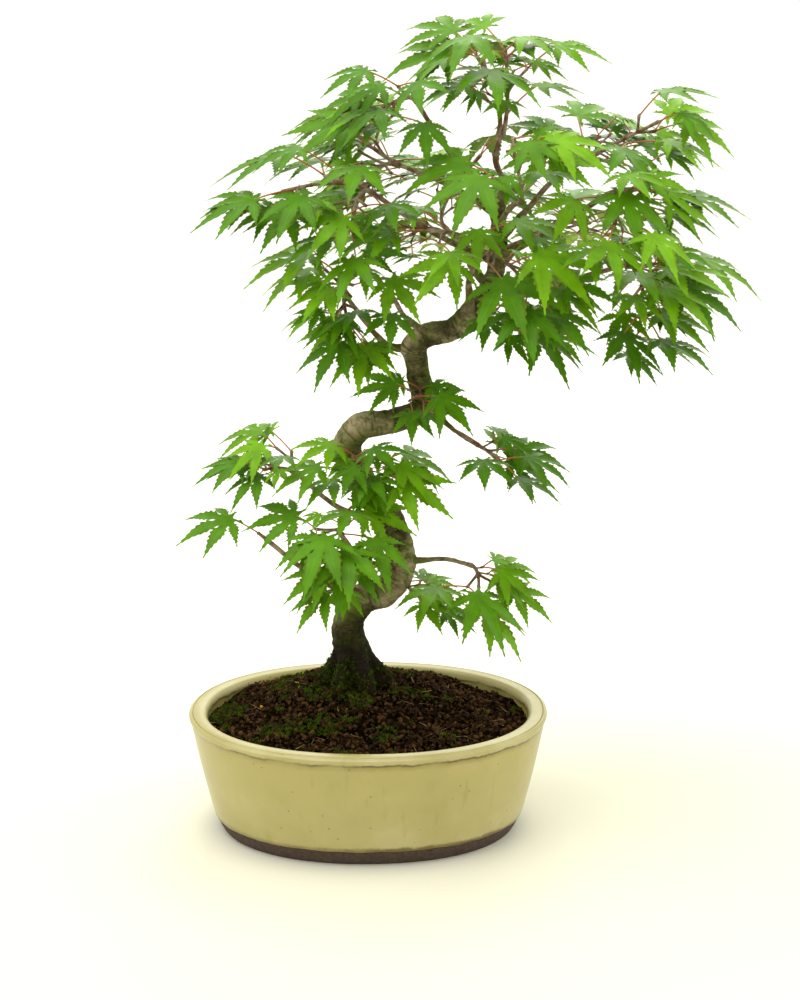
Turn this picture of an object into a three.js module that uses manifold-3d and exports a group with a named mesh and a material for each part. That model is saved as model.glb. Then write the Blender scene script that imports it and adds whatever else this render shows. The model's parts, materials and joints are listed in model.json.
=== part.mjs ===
// A Japanese maple grown as a bonsai in an oval glazed pot: a winding trunk that stands on the mounded soil,
// boughs that leave it at the bends, and masses of palmate leaves on long stalks.
// Millimetres, +Z up. The origin is the middle of the pot's flat underside, and -Y is the tree's front.
import * as THREE from "three";
import { mergeVertices } from "three/addons/utils/BufferGeometryUtils.js";
import Module from "manifold-3d";

const wasm = await Module();
wasm.setup();

// Pot
const POT_LENGTH = 220;
const POT_DEPTH = 176;
const POT_HEIGHT = 74;
const POT_SQUARENESS = 2.12; // exponent of the oval: 2 is an ellipse, more is squarer
const RIM_WIDTH = 11;
const LIP_HEIGHT = 3.6;
const LIP_STEP = 0.8;
const FOOT_INSET = 19;
const FOOT_BAND = 11.5;
const FLOOR_THICKNESS = 8;
const POT_SEGMENTS = 32;

// Soil
const SOIL_EDGE_DROP = 7; // below the rim
const MOUND_TOP = 81.7;
const MOUND_FLAT = 28; // radius of the level top that the trunk stands on
const MOUND_SPREAD = 32;
// Lumps of the soil: waves across it, each with its radians per millimetre along x and y, phase and height
const SOIL_WAVES = [
  { x: 0.105, y: 0.04, phase: 1, high: 1.2 },
  { x: -0.06, y: 0.12, phase: 2.5, high: 0.9 },
  { x: 0.13, y: 0.11, phase: 0, high: 0.5 },
];

// Trunk: the flat cut is at ROOT_LEVEL, and each stop is [x, y, z, radius]
const CLEARANCE = 0.3;
const ROOT_LEVEL = MOUND_TOP + CLEARANCE;
const ROOT_COUNT = 6;
const FLARE_HEIGHT = 15;
const FLARE_REACH = 1.05; // how far a root stands out, as a share of the trunk's radius
const TRUNK_RING_GAP = 8;
const TRUNK_SIDES = 9;
const TRUNK_STOPS = [
  [-7, 22, 65, 12.5],
  [-9, 22, 87, 12],
  [-10, 22, 102, 11],
  [-12, 19, 122, 9.6],
  [-3, 11, 140, 9.4],
  [12, 5, 148, 9.3],
  [21, 7, 165, 8.5],
  [14, 17, 188, 8.2],
  [-3, 13, 213, 8.1],
  [-12, 1, 236, 8.8],
  [-4, -7, 252, 8.2],
  [15, -5, 255, 7.2],
  [33, 5, 261, 7.5],
  [30, 12, 283, 6.9],
  [31, 6, 301, 7.3],
  [55, 0, 311, 6.4],
  [71, 8, 328, 5.3],
  [77, 12, 351, 4.2],
  [77, 6, 381, 3.2],
];

// Boughs: "at" is the stop of the trunk that the bough leaves from, counted along TRUNK_STOPS, "tip" is its
// far end, "arch" lifts its middle by a share of its length, and "root" is its radius at the trunk.
const BOUGH_TIP_RADIUS = 1.7;
const BOUGH_SIDES = 4;
const BOUGH_RINGS = 5;
const BOUGH_KINK = 0.07;
const BOUGHS = [
  { name: "bough_low_left", at: 4, tip: [-61, -8, 184], arch: -0.06, root: 3.0 },
  { name: "bough_left", at: 7, tip: [-44, 4, 223], arch: -0.12, root: 2.6 },
  { name: "bough_front_low", at: 5.2, tip: [-16, -27, 192], arch: -0.1, root: 2.4 },
  { name: "bough_right_low", at: 6, tip: [63, -6, 166], arch: 0.06, root: 2.0 },
  { name: "bough_right_mid", at: 11.9, tip: [66, -5, 240], arch: 0.03, root: 2.2 },
  { name: "bough_mid_left", at: 13.7, tip: [-11, -9, 329], arch: -0.2, root: 2.6 },
  { name: "bough_inner_left", at: 14.3, tip: [16, -16, 329], arch: -0.08, root: 2.2 },
  { name: "second_leader", at: 15.1, tip: [63, -20, 353], arch: 0.02, root: 4.2 },
  { name: "bough_left_long", at: 16.9, tip: [3, -18, 391], arch: -0.05, root: 2.8 },
  { name: "bough_left_upper", at: 17.8, tip: [19, 30, 402], arch: 0.04, root: 2.5 },
  { name: "bough_upper_left", at: 17.95, tip: [28, -12, 442], arch: -0.06, root: 2.4 },
  { name: "bough_top", at: 17.95, tip: [78, 9, 421], arch: 0.03, root: 2.6 },
  { name: "bough_right_upper", at: 17.3, tip: [130, 16, 407], arch: 0.07, root: 2.6 },
  { name: "bough_right_main", at: 17.0, tip: [136, -26, 390], arch: -0.04, root: 3.0 },
  { name: "bough_right_under", at: 16.3, tip: [150, -10, 348], arch: -0.05, root: 2.7 },
  { name: "bough_back_left", at: 16.2, tip: [48, 62, 359], arch: 0.05, root: 2.6 },
  { name: "bough_back_right", at: 16.6, tip: [116, 66, 363], arch: 0.05, root: 2.7 },
  { name: "bough_front", at: 17.5, tip: [86, -46, 388], arch: 0.08, root: 2.5 },
];

// Masses of foliage: each grows "from" a bough's tip, or from a stop of the trunk where "from" is a number.
// "end" is where its outermost leaves sit, "forks" how many pairs of side twigs its stem has, "tuft" how
// many leaves its end carries, "leaf" their size. Its space goes REACH times that from the line to "end".
const REACH = 76;
const SEED = 1268;
const MASSES = [
  { name: "low_left_outer", from: "bough_low_left", end: [-66, -14, 190], forks: 1, tuft: 2, leaf: 0.8 },
  { name: "low_left_under", from: 4.2, end: [-24, -12, 164], forks: 1, tuft: 2, leaf: 0.8 },
  { name: "left_upright", from: "bough_left", end: [-46, 10, 236], forks: 1, tuft: 2, leaf: 0.75 },
  { name: "left_outer", from: "bough_left", end: [-66, -4, 226], forks: 1, tuft: 2, leaf: 0.75 },
  { name: "front_low", from: "bough_front_low", end: [-14, -56, 200], forks: 2, tuft: 3, leaf: 0.95 },
  { name: "right_low", from: "bough_right_low", end: [68, -12, 150], forks: 1, tuft: 1, leaf: 0.85 },
  { name: "right_low_inner", from: 5.5, end: [36, 0, 140], forks: 0, tuft: 3, leaf: 0.7 },
  { name: "right_mid", from: "bough_right_mid", end: [80, -8, 232], forks: 1, tuft: 2, leaf: 0.8 },
  { name: "trunk_right", from: 12.4, end: [26, -22, 272], forks: 0, tuft: 2, leaf: 0.8 },
  { name: "bend_front", from: 9, end: [4, -40, 230], forks: 1, tuft: 2, leaf: 0.85 },
  { name: "mid_left_outer", from: "bough_mid_left", end: [-18, -28, 350], forks: 2, tuft: 3, leaf: 0.95 },
  { name: "mid_left_under", from: "bough_mid_left", end: [-10, -24, 312], forks: 1, tuft: 2, leaf: 0.8 },
  { name: "inner_left", from: "bough_inner_left", end: [14, -46, 338], forks: 1, tuft: 3, leaf: 0.95 },
  { name: "centre_left", from: "second_leader", end: [26, -66, 380], forks: 2, tuft: 3, leaf: 1 },
  { name: "centre_right", from: "second_leader", end: [98, -62, 340], forks: 2, tuft: 3, leaf: 1 },
  { name: "left_long_tip", from: "bough_left_long", end: [-62, -24, 392], forks: 2, tuft: 1, leaf: 1 },
  { name: "left_long_under", from: "bough_left_long", end: [-12, -50, 368], forks: 1, tuft: 3, leaf: 0.9 },
  { name: "left_upper", from: "bough_left_upper", end: [-12, 28, 424], forks: 2, tuft: 3, leaf: 0.95 },
  { name: "left_back", from: "bough_left_upper", end: [0, 78, 383], forks: 2, tuft: 3, leaf: 1 },
  { name: "upper_left", from: "bough_upper_left", end: [4, -20, 436], forks: 2, tuft: 2, leaf: 0.9 },
  { name: "apex", from: "bough_top", end: [60, 0, 478], forks: 2, tuft: 2, leaf: 1 },
  { name: "apex_right", from: "bough_top", end: [80, 6, 482], forks: 1, tuft: 2, leaf: 0.9 },
  { name: "right_upper", from: "bough_right_upper", end: [178, -12, 436], forks: 2, tuft: 1, leaf: 1 },
  { name: "right_upper_back", from: "bough_right_upper", end: [136, 58, 416], forks: 1, tuft: 3, leaf: 1 },
  { name: "right_outer", from: "bough_right_main", end: [172, -20, 392], forks: 2, tuft: 1, leaf: 1 },
  { name: "right_front", from: "bough_right_main", end: [138, -68, 374], forks: 2, tuft: 3, leaf: 0.95 },
  { name: "right_low_outer", from: "bough_right_under", end: [168, -22, 334], forks: 2, tuft: 1, leaf: 1 },
  { name: "right_low_under", from: "bough_right_under", end: [162, -6, 298], forks: 1, tuft: 2, leaf: 0.9 },
  { name: "right_inner", from: 15.4, end: [97, -12, 308], forks: 0, tuft: 2, leaf: 0.9 },
  { name: "back_left", from: "bough_back_left", end: [22, 108, 350], forks: 1, tuft: 3, leaf: 1 },
  { name: "back_right", from: "bough_back_right", end: [146, 112, 352], forks: 2, tuft: 3, leaf: 1 },
  { name: "back_top", from: "bough_back_left", end: [76, 84, 415], forks: 1, tuft: 3, leaf: 1 },
  { name: "front_top", from: "bough_front", end: [78, -70, 430], forks: 2, tuft: 3, leaf: 1 },
];

// Twigs and leaves
const LEAF_LENGTH = 56; // hub to the tip of the middle lobe of a full-sized leaf
const LEAF_HUB_THICKNESS = 1.8;
const LEAF_TIP_DROP = 0.16;
const STALK_LENGTH = 22;
const STALK_RADIUS = 0.65;
const TWIG_LENGTH = 17;
const TWIG_RADIUS = 0.85;
const BUD_RADIUS = 2;
const BUD_LENGTH = 1.7;
const BUD_TIP = 0.3;
const TUFTS = { 1: [0], 2: [-1, 1], 3: [-1, 0, 1] }; // the sides that an end's leaves go to
const STEM_RADIUS = 1.05;
const STEM_SHARE = 0.78; // of the way to the end of the mass
const STEM_BEND = 0.4;
const STEM_RINGS = 3;
const TWIG_SIDES = 3;
const TRIES = 22;
const LIMB_MARGIN = 1.5;
const LEAF_ROOM = 3.2; // thickness that a leaf needs free at its hub
const LEAF_SPREAD = 1.03; // size of the room it needs, over its own
const TWIG_ROOM = 1.5;
const FORK_ROOM = 4; // length past a fork within which a twig or stalk may touch its own stem
const FORK_GUARD = 3.7; // radius round a fork that is kept free for what grows from it
const TRY_SHRINK = 0.02;
const STALK_JOIN = 0.1; // where the stalk meets the blade, behind the hub, as a share of the leaf's length
const STALK_TURN = 0.3;
const STALK_CORNERS = [
  [0.87, 0.5],
  [-0.87, 0.5],
  [0, -1],
];
// The rim of one side from the middle lobe's tip: turn in degrees, distance as a share of the leaf's length
const LEAF_SPOTS = [
  { turn: 0, out: 1 },
  { turn: 19, out: 0.37 },
  { turn: 38, out: 0.87 },
  { turn: 57, out: 0.34 },
  { turn: 77, out: 0.6 },
  { turn: 132, out: 0.21 },
];
const LEAF_FLAT = 0.22;
// How twigs and leaves grow: each pair is the usual value and how far it strays either way.
const TWIG_FAN = 51; // degrees from the stem to a side twig
const TWIG_ROLL = [18, -35]; // degrees that a pair is rolled about its stem, in turn
const TWIG_WAY = { roll: [0, 28], rise: [0.1, 0.2], size: [0.85, 0.35] };
const LEAF_WAY = {
  fan: [48, 16], // degrees from the twig to the leaf's side
  turn: [0, 12],
  rise: [0.12, 0.32],
  stalk: [0.85, 0.35],
  faceOut: [0.4, 0.22],
  faceFront: [0.45, 0.4],
  faceAside: [0, 0.28],
  droop: [-0.55, 0.35],
  size: [0.88, 0.17],
};
const LEAF_ALONG = { stalk: 0.75, outward: 0.7 }; // what pulls the middle lobe

const DEGREE = Math.PI / 180;
const UP = new THREE.Vector3(0, 0, 1);
const FRONT = new THREE.Vector3(0, -1, 0);

// A repeatable number from 0 to 1 for a set of whole-number keys.
function share(...keys) {
  let mix = 2166136261;
  for (const key of keys) {
    mix = Math.imul(mix ^ (key + 101), 16777619);
    mix = Math.imul(mix ^ (mix >>> 15), 2246822507);
    mix ^= mix >>> 13;
  }
  return (mix >>> 0) / 4294967296;
}

// The same, from -1 to 1.
const swing = (...keys) => 2 * share(...keys) - 1;

// A table of usual values and strays turned into values for one set of keys.
function strayFrom(table, keys) {
  const rows = Object.entries(table).map(([name, [usual, by]], i) => [name, usual + by * swing(...keys, i)]);
  return Object.fromEntries(rows);
}

const vector = ([x, y, z]) => new THREE.Vector3(x, y, z);

// A point moved back from another by a depth, to sink a limb's foot in what carries it.
function sunk(from, to, depth) {
  return from.clone().addScaledVector(new THREE.Vector3().subVectors(to, from).normalize(), -depth);
}

function solidOf(geometry) {
  for (const name of ["normal", "uv"]) geometry.deleteAttribute(name);
  const merged = mergeVertices(geometry, 1e-3);
  const mesh = new wasm.Mesh({
    numProp: 3,
    vertProperties: new Float32Array(merged.attributes.position.array),
    triVerts: new Uint32Array(merged.index.array),
  });
  return new wasm.Manifold(mesh);
}

function geometryOf(solid) {
  const mesh = solid.getMesh();
  const geometry = new THREE.BufferGeometry();
  geometry.setAttribute("position", new THREE.BufferAttribute(mesh.vertProperties, 3));
  geometry.setIndex(new THREE.BufferAttribute(mesh.triVerts, 1));
  return geometry;
}

function indexed(positions, faces) {
  const geometry = new THREE.BufferGeometry();
  geometry.setAttribute("position", new THREE.Float32BufferAttribute(positions, 3));
  geometry.setIndex(faces);
  return geometry;
}

// A closed limb through the points, with a flat end at each and radiusAt(ring, angle) round it.
function sweep(points, radiusAt, sides) {
  const positions = [];
  const faces = [];
  const last = points.length - 1;
  const tangentAt = (i) => {
    const [before, after] = [points[Math.max(i - 1, 0)], points[Math.min(i + 1, last)]];
    return new THREE.Vector3().subVectors(after, before).normalize();
  };
  const first = tangentAt(0);
  const aside = Math.abs(first.z) < 0.9 ? UP : FRONT;
  const across = new THREE.Vector3().crossVectors(first, aside).normalize();
  points.forEach((point, i) => {
    const tangent = tangentAt(i);
    across.addScaledVector(tangent, -across.dot(tangent)).normalize();
    const other = new THREE.Vector3().crossVectors(tangent, across);
    for (let k = 0; k < sides; k++) {
      const angle = (2 * Math.PI * k) / sides;
      const r = radiusAt(i, angle);
      const corner = point.clone().addScaledVector(across, r * Math.cos(angle));
      corner.addScaledVector(other, r * Math.sin(angle));
      positions.push(corner.x, corner.y, corner.z);
    }
  });
  for (let i = 0; i < last; i++) {
    for (let k = 0; k < sides; k++) {
      const [a, b] = [i * sides + k, i * sides + ((k + 1) % sides)];
      faces.push(a, b, b + sides, a, b + sides, a + sides);
    }
  }
  for (let k = 1; k < sides - 1; k++) {
    faces.push(0, k + 1, k);
    faces.push(last * sides, last * sides + k, last * sides + k + 1);
  }
  return indexed(positions, faces);
}

// Points along a smooth curve through the stops, with the radius that the stops give there.
function route(stops, rings) {
  const curve = new THREE.CatmullRomCurve3(stops.map(vector), false, "catmullrom", 0.5);
  const spans = stops.length - 1;
  return Array.from({ length: rings + 1 }, (_, i) => {
    const along = (spans * i) / rings;
    const stop = Math.min(Math.floor(along), spans - 1);
    const radius = THREE.MathUtils.lerp(stops[stop][3], stops[stop + 1][3], along - stop);
    return { point: curve.getPoint(i / rings), radius };
  });
}

// Pot and soil: a profile of [half length, height] turned round the oval, whose shape holds near the middle.
const SIDE_DIFFERENCE = (POT_LENGTH - POT_DEPTH) / 2;
const OVAL_CORE = 60;

function halfDepth(halfLength) {
  const core = (OVAL_CORE - SIDE_DIFFERENCE) / OVAL_CORE;
  return halfLength > OVAL_CORE ? halfLength - SIDE_DIFFERENCE : halfLength * core;
}

function ovalPoint(halfLength, angle) {
  const bend = (v) => Math.sign(v) * Math.abs(v) ** (2 / POT_SQUARENESS);
  return [halfLength * bend(Math.cos(angle)), halfDepth(halfLength) * bend(Math.sin(angle))];
}

function ovalLathe(profile, place) {
  const turned = new THREE.LatheGeometry(
    profile.map(([r, z]) => new THREE.Vector2(r, z)),
    POT_SEGMENTS,
  );
  turned.rotateX(Math.PI / 2);
  const spots = turned.attributes.position;
  for (let i = 0; i < spots.count; i++) {
    const [x, y, z] = [spots.getX(i), spots.getY(i), spots.getZ(i)];
    spots.setXYZ(i, ...place(Math.hypot(x, y), Math.atan2(y, x), z));
  }
  return solidOf(turned);
}

const RIM = POT_LENGTH / 2;
const FOOT = RIM - FOOT_INSET;
const INNER_TOP = RIM - RIM_WIDTH;
const BODY_TOP = RIM - LIP_STEP;
const BAND_TOP = FOOT + 4.4;
const INNER_FOOT = BAND_TOP - 5;

function potSolid() {
  const outside = [
    [FOOT - 1.5, 0],
    [FOOT, 1.5],
    [FOOT + 2.2, FOOT_BAND / 2],
    [BAND_TOP, FOOT_BAND],
    [BAND_TOP + 0.9, FOOT_BAND + 1],
    [(BAND_TOP + BODY_TOP) / 2 + 1.3, (FOOT_BAND + POT_HEIGHT) / 2],
    [BODY_TOP - 0.4, POT_HEIGHT - LIP_HEIGHT - 1.6],
    [RIM - 0.5, POT_HEIGHT - LIP_HEIGHT],
    [RIM, POT_HEIGHT - LIP_HEIGHT / 2],
    [RIM - 1, POT_HEIGHT - 0.7],
    [RIM - 3, POT_HEIGHT],
  ];
  const inside = [
    [INNER_TOP + 1.6, POT_HEIGHT],
    [INNER_TOP, POT_HEIGHT - 1.8],
    [INNER_FOOT + 4.5, POT_HEIGHT / 3],
    [INNER_FOOT, FLOOR_THICKNESS + 3],
    [INNER_FOOT - 4, FLOOR_THICKNESS],
  ];
  const profile = [[0, 0], ...outside, ...inside, [0, FLOOR_THICKNESS]];
  return ovalLathe(profile, (r, angle, z) => [...ovalPoint(r, angle), z]);
}

// The soil fills the pot and rises to the trunk's foot, where its top is level.
const [FOOT_X, FOOT_Y] = TRUNK_STOPS[0];
const SOIL_TOP = POT_HEIGHT - SOIL_EDGE_DROP;

function soilHeight(x, y) {
  const away = Math.max(Math.hypot(x - FOOT_X, y - FOOT_Y) - MOUND_FLAT, 0);
  const waveAt = (wave) => wave.high * Math.sin(x * wave.x + y * wave.y + wave.phase);
  const lump = SOIL_WAVES.reduce((sum, wave) => sum + waveAt(wave), 0);
  const rise = (MOUND_TOP - SOIL_TOP) * Math.exp(-((away / MOUND_SPREAD) ** 2));
  return SOIL_TOP + rise + lump * Math.min(away / MOUND_FLAT, 1);
}

function soilSolid() {
  const wallAt = (z) => {
    const wall = THREE.MathUtils.mapLinear(z, POT_HEIGHT / 3, POT_HEIGHT - 1.8, INNER_FOOT + 4.5, INNER_TOP);
    return wall - CLEARANCE * 2;
  };
  const edge = wallAt(SOIL_TOP);
  const topRings = [1, 0.88, 0.76, 0.64, 0.52, 0.4, 0.25];
  const profile = [
    [0, FLOOR_THICKNESS + CLEARANCE],
    [INNER_FOOT - 4 - CLEARANCE * 2, FLOOR_THICKNESS + CLEARANCE],
    [INNER_FOOT - CLEARANCE * 2, FLOOR_THICKNESS + 3 + CLEARANCE],
    [wallAt(POT_HEIGHT / 3), POT_HEIGHT / 3],
    ...topRings.map((part) => [edge * part, SOIL_TOP]),
    [0, SOIL_TOP],
  ];
  return ovalLathe(profile, (r, angle, z) => {
    if (z < SOIL_TOP - 1) return [...ovalPoint(r, angle), z];
    const part = r / edge;
    const [rimX, rimY] = ovalPoint(edge, angle);
    const x = THREE.MathUtils.lerp(FOOT_X, rimX, part);
    const y = THREE.MathUtils.lerp(FOOT_Y, rimY, part);
    return [x, y, soilHeight(x, y)];
  });
}

// Trunk: a winding limb that flares into roots at its flat foot.
const trunkLength = TRUNK_STOPS.slice(1).reduce(
  (sum, stop, i) => sum + vector(stop).distanceTo(vector(TRUNK_STOPS[i])),
  0,
);
const trunkRoute = route(TRUNK_STOPS, Math.round(trunkLength / TRUNK_RING_GAP));

function trunkSolid(grow) {
  const radiusAt = (i, angle) => {
    const { point, radius } = trunkRoute[i];
    const high = Math.max(point.z - ROOT_LEVEL, 0) / FLARE_HEIGHT;
    const root = Math.exp(-high * high) * FLARE_REACH * (0.45 + 0.55 * Math.cos(ROOT_COUNT * angle));
    const ridge = 0.035 * Math.cos(3 * angle + i * 0.4) + 0.03 * swing(i, Math.round(angle * 10));
    return radius * (1 + Math.max(root, 0) + ridge) + grow;
  };
  const whole = solidOf(
    sweep(
      trunkRoute.map((ring) => ring.point),
      radiusAt,
      TRUNK_SIDES,
    ),
  );
  const below = new THREE.BoxGeometry(POT_LENGTH, POT_LENGTH, ROOT_LEVEL);
  below.translate(0, 0, ROOT_LEVEL / 2 - (grow > 0 ? POT_HEIGHT : 0));
  return whole.subtract(solidOf(below));
}

// The point of the trunk's middle at a stop, which may lie between two.
function trunkPoint(at) {
  const along = (at / (TRUNK_STOPS.length - 1)) * (trunkRoute.length - 1);
  const ring = Math.min(Math.floor(along), trunkRoute.length - 2);
  return trunkRoute[ring].point.clone().lerp(trunkRoute[ring + 1].point, along - ring);
}

// A bough's stops: from inside the trunk to its tip, arched, with a kink to each side.
function boughStops({ at, tip, arch, root }, number) {
  const start = trunkPoint(at);
  const span = vector(tip).sub(start);
  const length = span.length();
  const side = new THREE.Vector3().crossVectors(span, UP).normalize();
  return [0, 0.3, 0.62, 1].map((part, i) => {
    const kink = i % 3 ? BOUGH_KINK * length * (i === 1 ? 1 : -1) * swing(number, 7) : 0;
    const spot = start.clone().addScaledVector(span, part).addScaledVector(side, kink);
    spot.addScaledVector(UP, arch * length * Math.sin(Math.PI * part));
    return [spot.x, spot.y, spot.z, THREE.MathUtils.lerp(root, BOUGH_TIP_RADIUS, part ** 0.8)];
  });
}

const boughRoutes = new Map(
  BOUGHS.map((bough, i) => [bough.name, route(boughStops(bough, i), BOUGH_RINGS)]),
);

// A bough's solid, or with grow the same with that much room round it and past its tip.
function boughSolid(rings, grow) {
  const points = rings.map((ring) => ring.point.clone());
  const last = points.length - 1;
  const ahead = new THREE.Vector3().subVectors(points[last], points[last - 1]).normalize();
  points[last].addScaledVector(ahead, grow);
  return solidOf(sweep(points, (i) => rings[i].radius + grow, BOUGH_SIDES));
}

const nearest = new THREE.Vector3();
function distanceTo(line, point) {
  return line.closestPointToPoint(point, true, nearest).distanceTo(point);
}

// Where each mass starts, and which way. Two masses on one tip start side by side.
function massStart(mass) {
  const end = vector(mass.end);
  if (typeof mass.from === "number") {
    const start = trunkPoint(mass.from);
    return { start, ahead: end.sub(start).normalize(), heart: start };
  }
  const rings = boughRoutes.get(mass.from);
  const tip = rings.at(-1).point;
  const ahead = new THREE.Vector3().subVectors(tip, rings.at(-2).point).normalize();
  const sisters = MASSES.filter((other) => other.from === mass.from);
  const start = tip.clone().addScaledVector(ahead, -1);
  if (sisters.length > 1) {
    const other = vector(sisters.find((sister) => sister !== mass).end);
    const apart = end.clone().sub(other);
    apart.addScaledVector(ahead, -apart.dot(ahead)).normalize();
    start.addScaledVector(apart, STEM_RADIUS + CLEARANCE);
  }
  return { start, ahead, heart: rings[0].point };
}

const masses = MASSES.map((mass, i) => {
  const { start, ahead, heart } = massStart(mass);
  const axis = new THREE.Line3(start, vector(mass.end));
  return { ...mass, start, ahead, heart, axis, seed: SEED + i };
});

// A mass's space is what lies within its reach and is free of the limbs and all that has grown before.
const inReach = (mass, point) => distanceTo(mass.axis, point) < REACH * mass.leaf;

const grown = [];

function remember(solid) {
  const { min, max } = solid.boundingBox();
  grown.push({ solid, min, max });
}

function isFree(solid) {
  const { min, max } = solid.boundingBox();
  return grown.every((other) => {
    const apart = [0, 1, 2].some((i) => min[i] > other.max[i] || max[i] < other.min[i]);
    return apart || solid.intersect(other.solid).isEmpty();
  });
}

// The leaf's rim in its own plane from one side of its stalk round to the other: shares of its length ahead,
// aside and downwards.
function leafRim() {
  const spot = (turn, out, drop) => [out * Math.cos(turn * DEGREE), out * Math.sin(turn * DEGREE), drop];
  const dropAt = (out) => LEAF_TIP_DROP * Math.max(out - LEAF_FLAT, 0);
  const half = LEAF_SPOTS.map(({ turn, out }) => spot(turn, out, dropAt(out)));
  const mirrored = half.slice(1).map(([ahead, aside, drop]) => [ahead, -aside, drop]);
  return [...mirrored.reverse(), ...half];
}

const RIM_SPOTS = leafRim();

// A point of a leaf, or with size above 1 of the room that it needs round it.
function leafPoint({ hub, ahead, aside, normal, length }, [forward, sideways, drop], size = 1) {
  const point = hub.clone().addScaledVector(ahead, forward * length * size);
  return point.addScaledVector(aside, sideways * length * size).addScaledVector(normal, -drop * length);
}

const leafBase = (leaf) => leafPoint(leaf, [-STALK_JOIN, 0, 0]);

// A leaf and its stalk in one piece: a thin lens of faces fanned from two hub points, above and below, to
// the rim, closed at the back by a three-sided stalk that runs down to the twig.
function leafSolid(leaf, thickness = LEAF_HUB_THICKNESS, size = 1) {
  const { normal, aside, hub } = leaf;
  const base = leafBase(leaf);
  const start = leaf.stalkFrom;
  const back = new THREE.Vector3().subVectors(start, base).normalize();
  const across = aside.clone().addScaledVector(back, -aside.dot(back)).normalize();
  const rise = new THREE.Vector3().crossVectors(across, back);
  const ring = (middle, side, up) => STALK_CORNERS.map(([a, u]) =>
    middle.clone().addScaledVector(side, a * STALK_RADIUS).addScaledVector(up, u * STALK_RADIUS));
  const rim = RIM_SPOTS.map((spot) => leafPoint(leaf, spot, size));
  const top = hub.clone().addScaledVector(normal, thickness / 2);
  const under = hub.clone().addScaledVector(normal, -thickness / 2);
  const corners = [top, under, ...ring(base, aside, normal), ...ring(start, across, rise), ...rim];
  const [first, last] = [8, corners.length - 1];
  const faces = [0, last, 2, 0, 2, 3, 0, 3, first, 1, 2, last, 1, 4, 2, 1, 3, 4, 1, first, 3, 5, 7, 6];
  for (let i = first; i < last; i++) faces.push(0, i, i + 1, 1, i + 1, i);
  for (const [a, b] of [[2, 3], [3, 4], [4, 2]]) faces.push(b, a, a + 3, b, a + 3, b + 3);
  return solidOf(indexed(corners.flatMap((corner) => corner.toArray()), faces));
}

// The room that a leaf's blade needs, as a closed fan without its stalk.
function bladeRoom(leaf) {
  const top = leaf.hub.clone().addScaledVector(leaf.normal, LEAF_ROOM / 2);
  const under = leaf.hub.clone().addScaledVector(leaf.normal, -LEAF_ROOM / 2);
  const rim = [...RIM_SPOTS, [-STALK_JOIN, 0, 0]].map((spot) => leafPoint(leaf, spot, LEAF_SPREAD));
  const faces = rim.flatMap((_, i) => {
    const [a, b] = [i + 2, ((i + 1) % rim.length) + 2];
    return [0, a, b, 1, b, a];
  });
  return solidOf(indexed([top, under, ...rim].flatMap((corner) => corner.toArray()), faces));
}

// Whether a leaf keeps to its mass's space and its blade and stalk touch nothing.
function leafFits(mass, leaf) {
  const base = leafBase(leaf);
  const back = new THREE.Vector3().subVectors(leaf.stalkFrom, base).normalize();
  if (-back.dot(leaf.ahead) < STALK_TURN) return false;
  if (!RIM_SPOTS.every((spot) => inReach(mass, leafPoint(leaf, spot)))) return false;
  return isFree(bladeRoom(leaf)) && isFree(twigRoom(leaf.stalkFrom, base));
}

// One way for a leaf to grow from a twig's end: a stalk to one side, and a blade that leans out and down.
function leafTry(mass, twigEnd, along, side, keys) {
  const way = strayFrom(LEAF_WAY, keys);
  const sideways = new THREE.Vector3().crossVectors(UP, along).normalize();
  const turn = (side * way.fan + way.turn) * DEGREE;
  const stalk = along.clone().multiplyScalar(Math.cos(turn)).addScaledVector(sideways, Math.sin(turn));
  stalk.addScaledVector(UP, way.rise).normalize();
  const hub = twigEnd.clone().addScaledVector(stalk, STALK_LENGTH * mass.leaf * way.stalk);
  const outward = new THREE.Vector3(hub.x - mass.heart.x, hub.y - mass.heart.y, 0);
  outward.multiplyScalar(1 / Math.max(outward.length(), 1));
  const normal = UP.clone().addScaledVector(outward, way.faceOut);
  normal.addScaledVector(FRONT, way.faceFront).addScaledVector(sideways, way.faceAside).normalize();
  const ahead = stalk.clone().multiplyScalar(LEAF_ALONG.stalk).addScaledVector(outward, LEAF_ALONG.outward);
  ahead.addScaledVector(UP, way.droop);
  ahead.addScaledVector(normal, -ahead.dot(normal)).normalize();
  const aside = new THREE.Vector3().crossVectors(normal, ahead);
  const length = LEAF_LENGTH * mass.leaf * way.size;
  return { hub, ahead, aside, normal, length, stalkFrom: twigEnd };
}

function growLeaf(mass, twigEnd, along, side, keys, leaves) {
  for (let attempt = 0; attempt < TRIES; attempt++) {
    const leaf = leafTry(mass, twigEnd, along, side, [...keys, attempt]);
    leaf.length *= 1 - TRY_SHRINK * attempt;
    if (leafFits(mass, leaf)) {
      leaves.push(leaf);
      remember(leafSolid(leaf));
      return;
    }
  }
}

function rod(from, to, radius) {
  return solidOf(sweep([from, to], () => radius, TWIG_SIDES));
}

// The room that a fork needs for the feet of what grows from it.
function knob(middle) {
  return solidOf(new THREE.IcosahedronGeometry(FORK_GUARD).translate(...middle.toArray()));
}

// Where along its stem a mass forks.
const forksOf = ({ forks }) => Array.from({ length: forks }, (_, i) => (i + 1) / (forks + 0.7));

// The room that a twig or stalk needs, from just past the fork it leaves.
const twigRoom = (from, to) => rod(sunk(from, to, -FORK_ROOM), to, TWIG_ROOM);

// A mass's stem bends from its start towards its end.
function stemOf({ start, ahead, axis }) {
  const end = axis.at(STEM_SHARE, new THREE.Vector3());
  const bend = start.clone().addScaledVector(ahead, start.distanceTo(end) * STEM_BEND);
  return new THREE.QuadraticBezierCurve3(start, bend, end);
}

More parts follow.
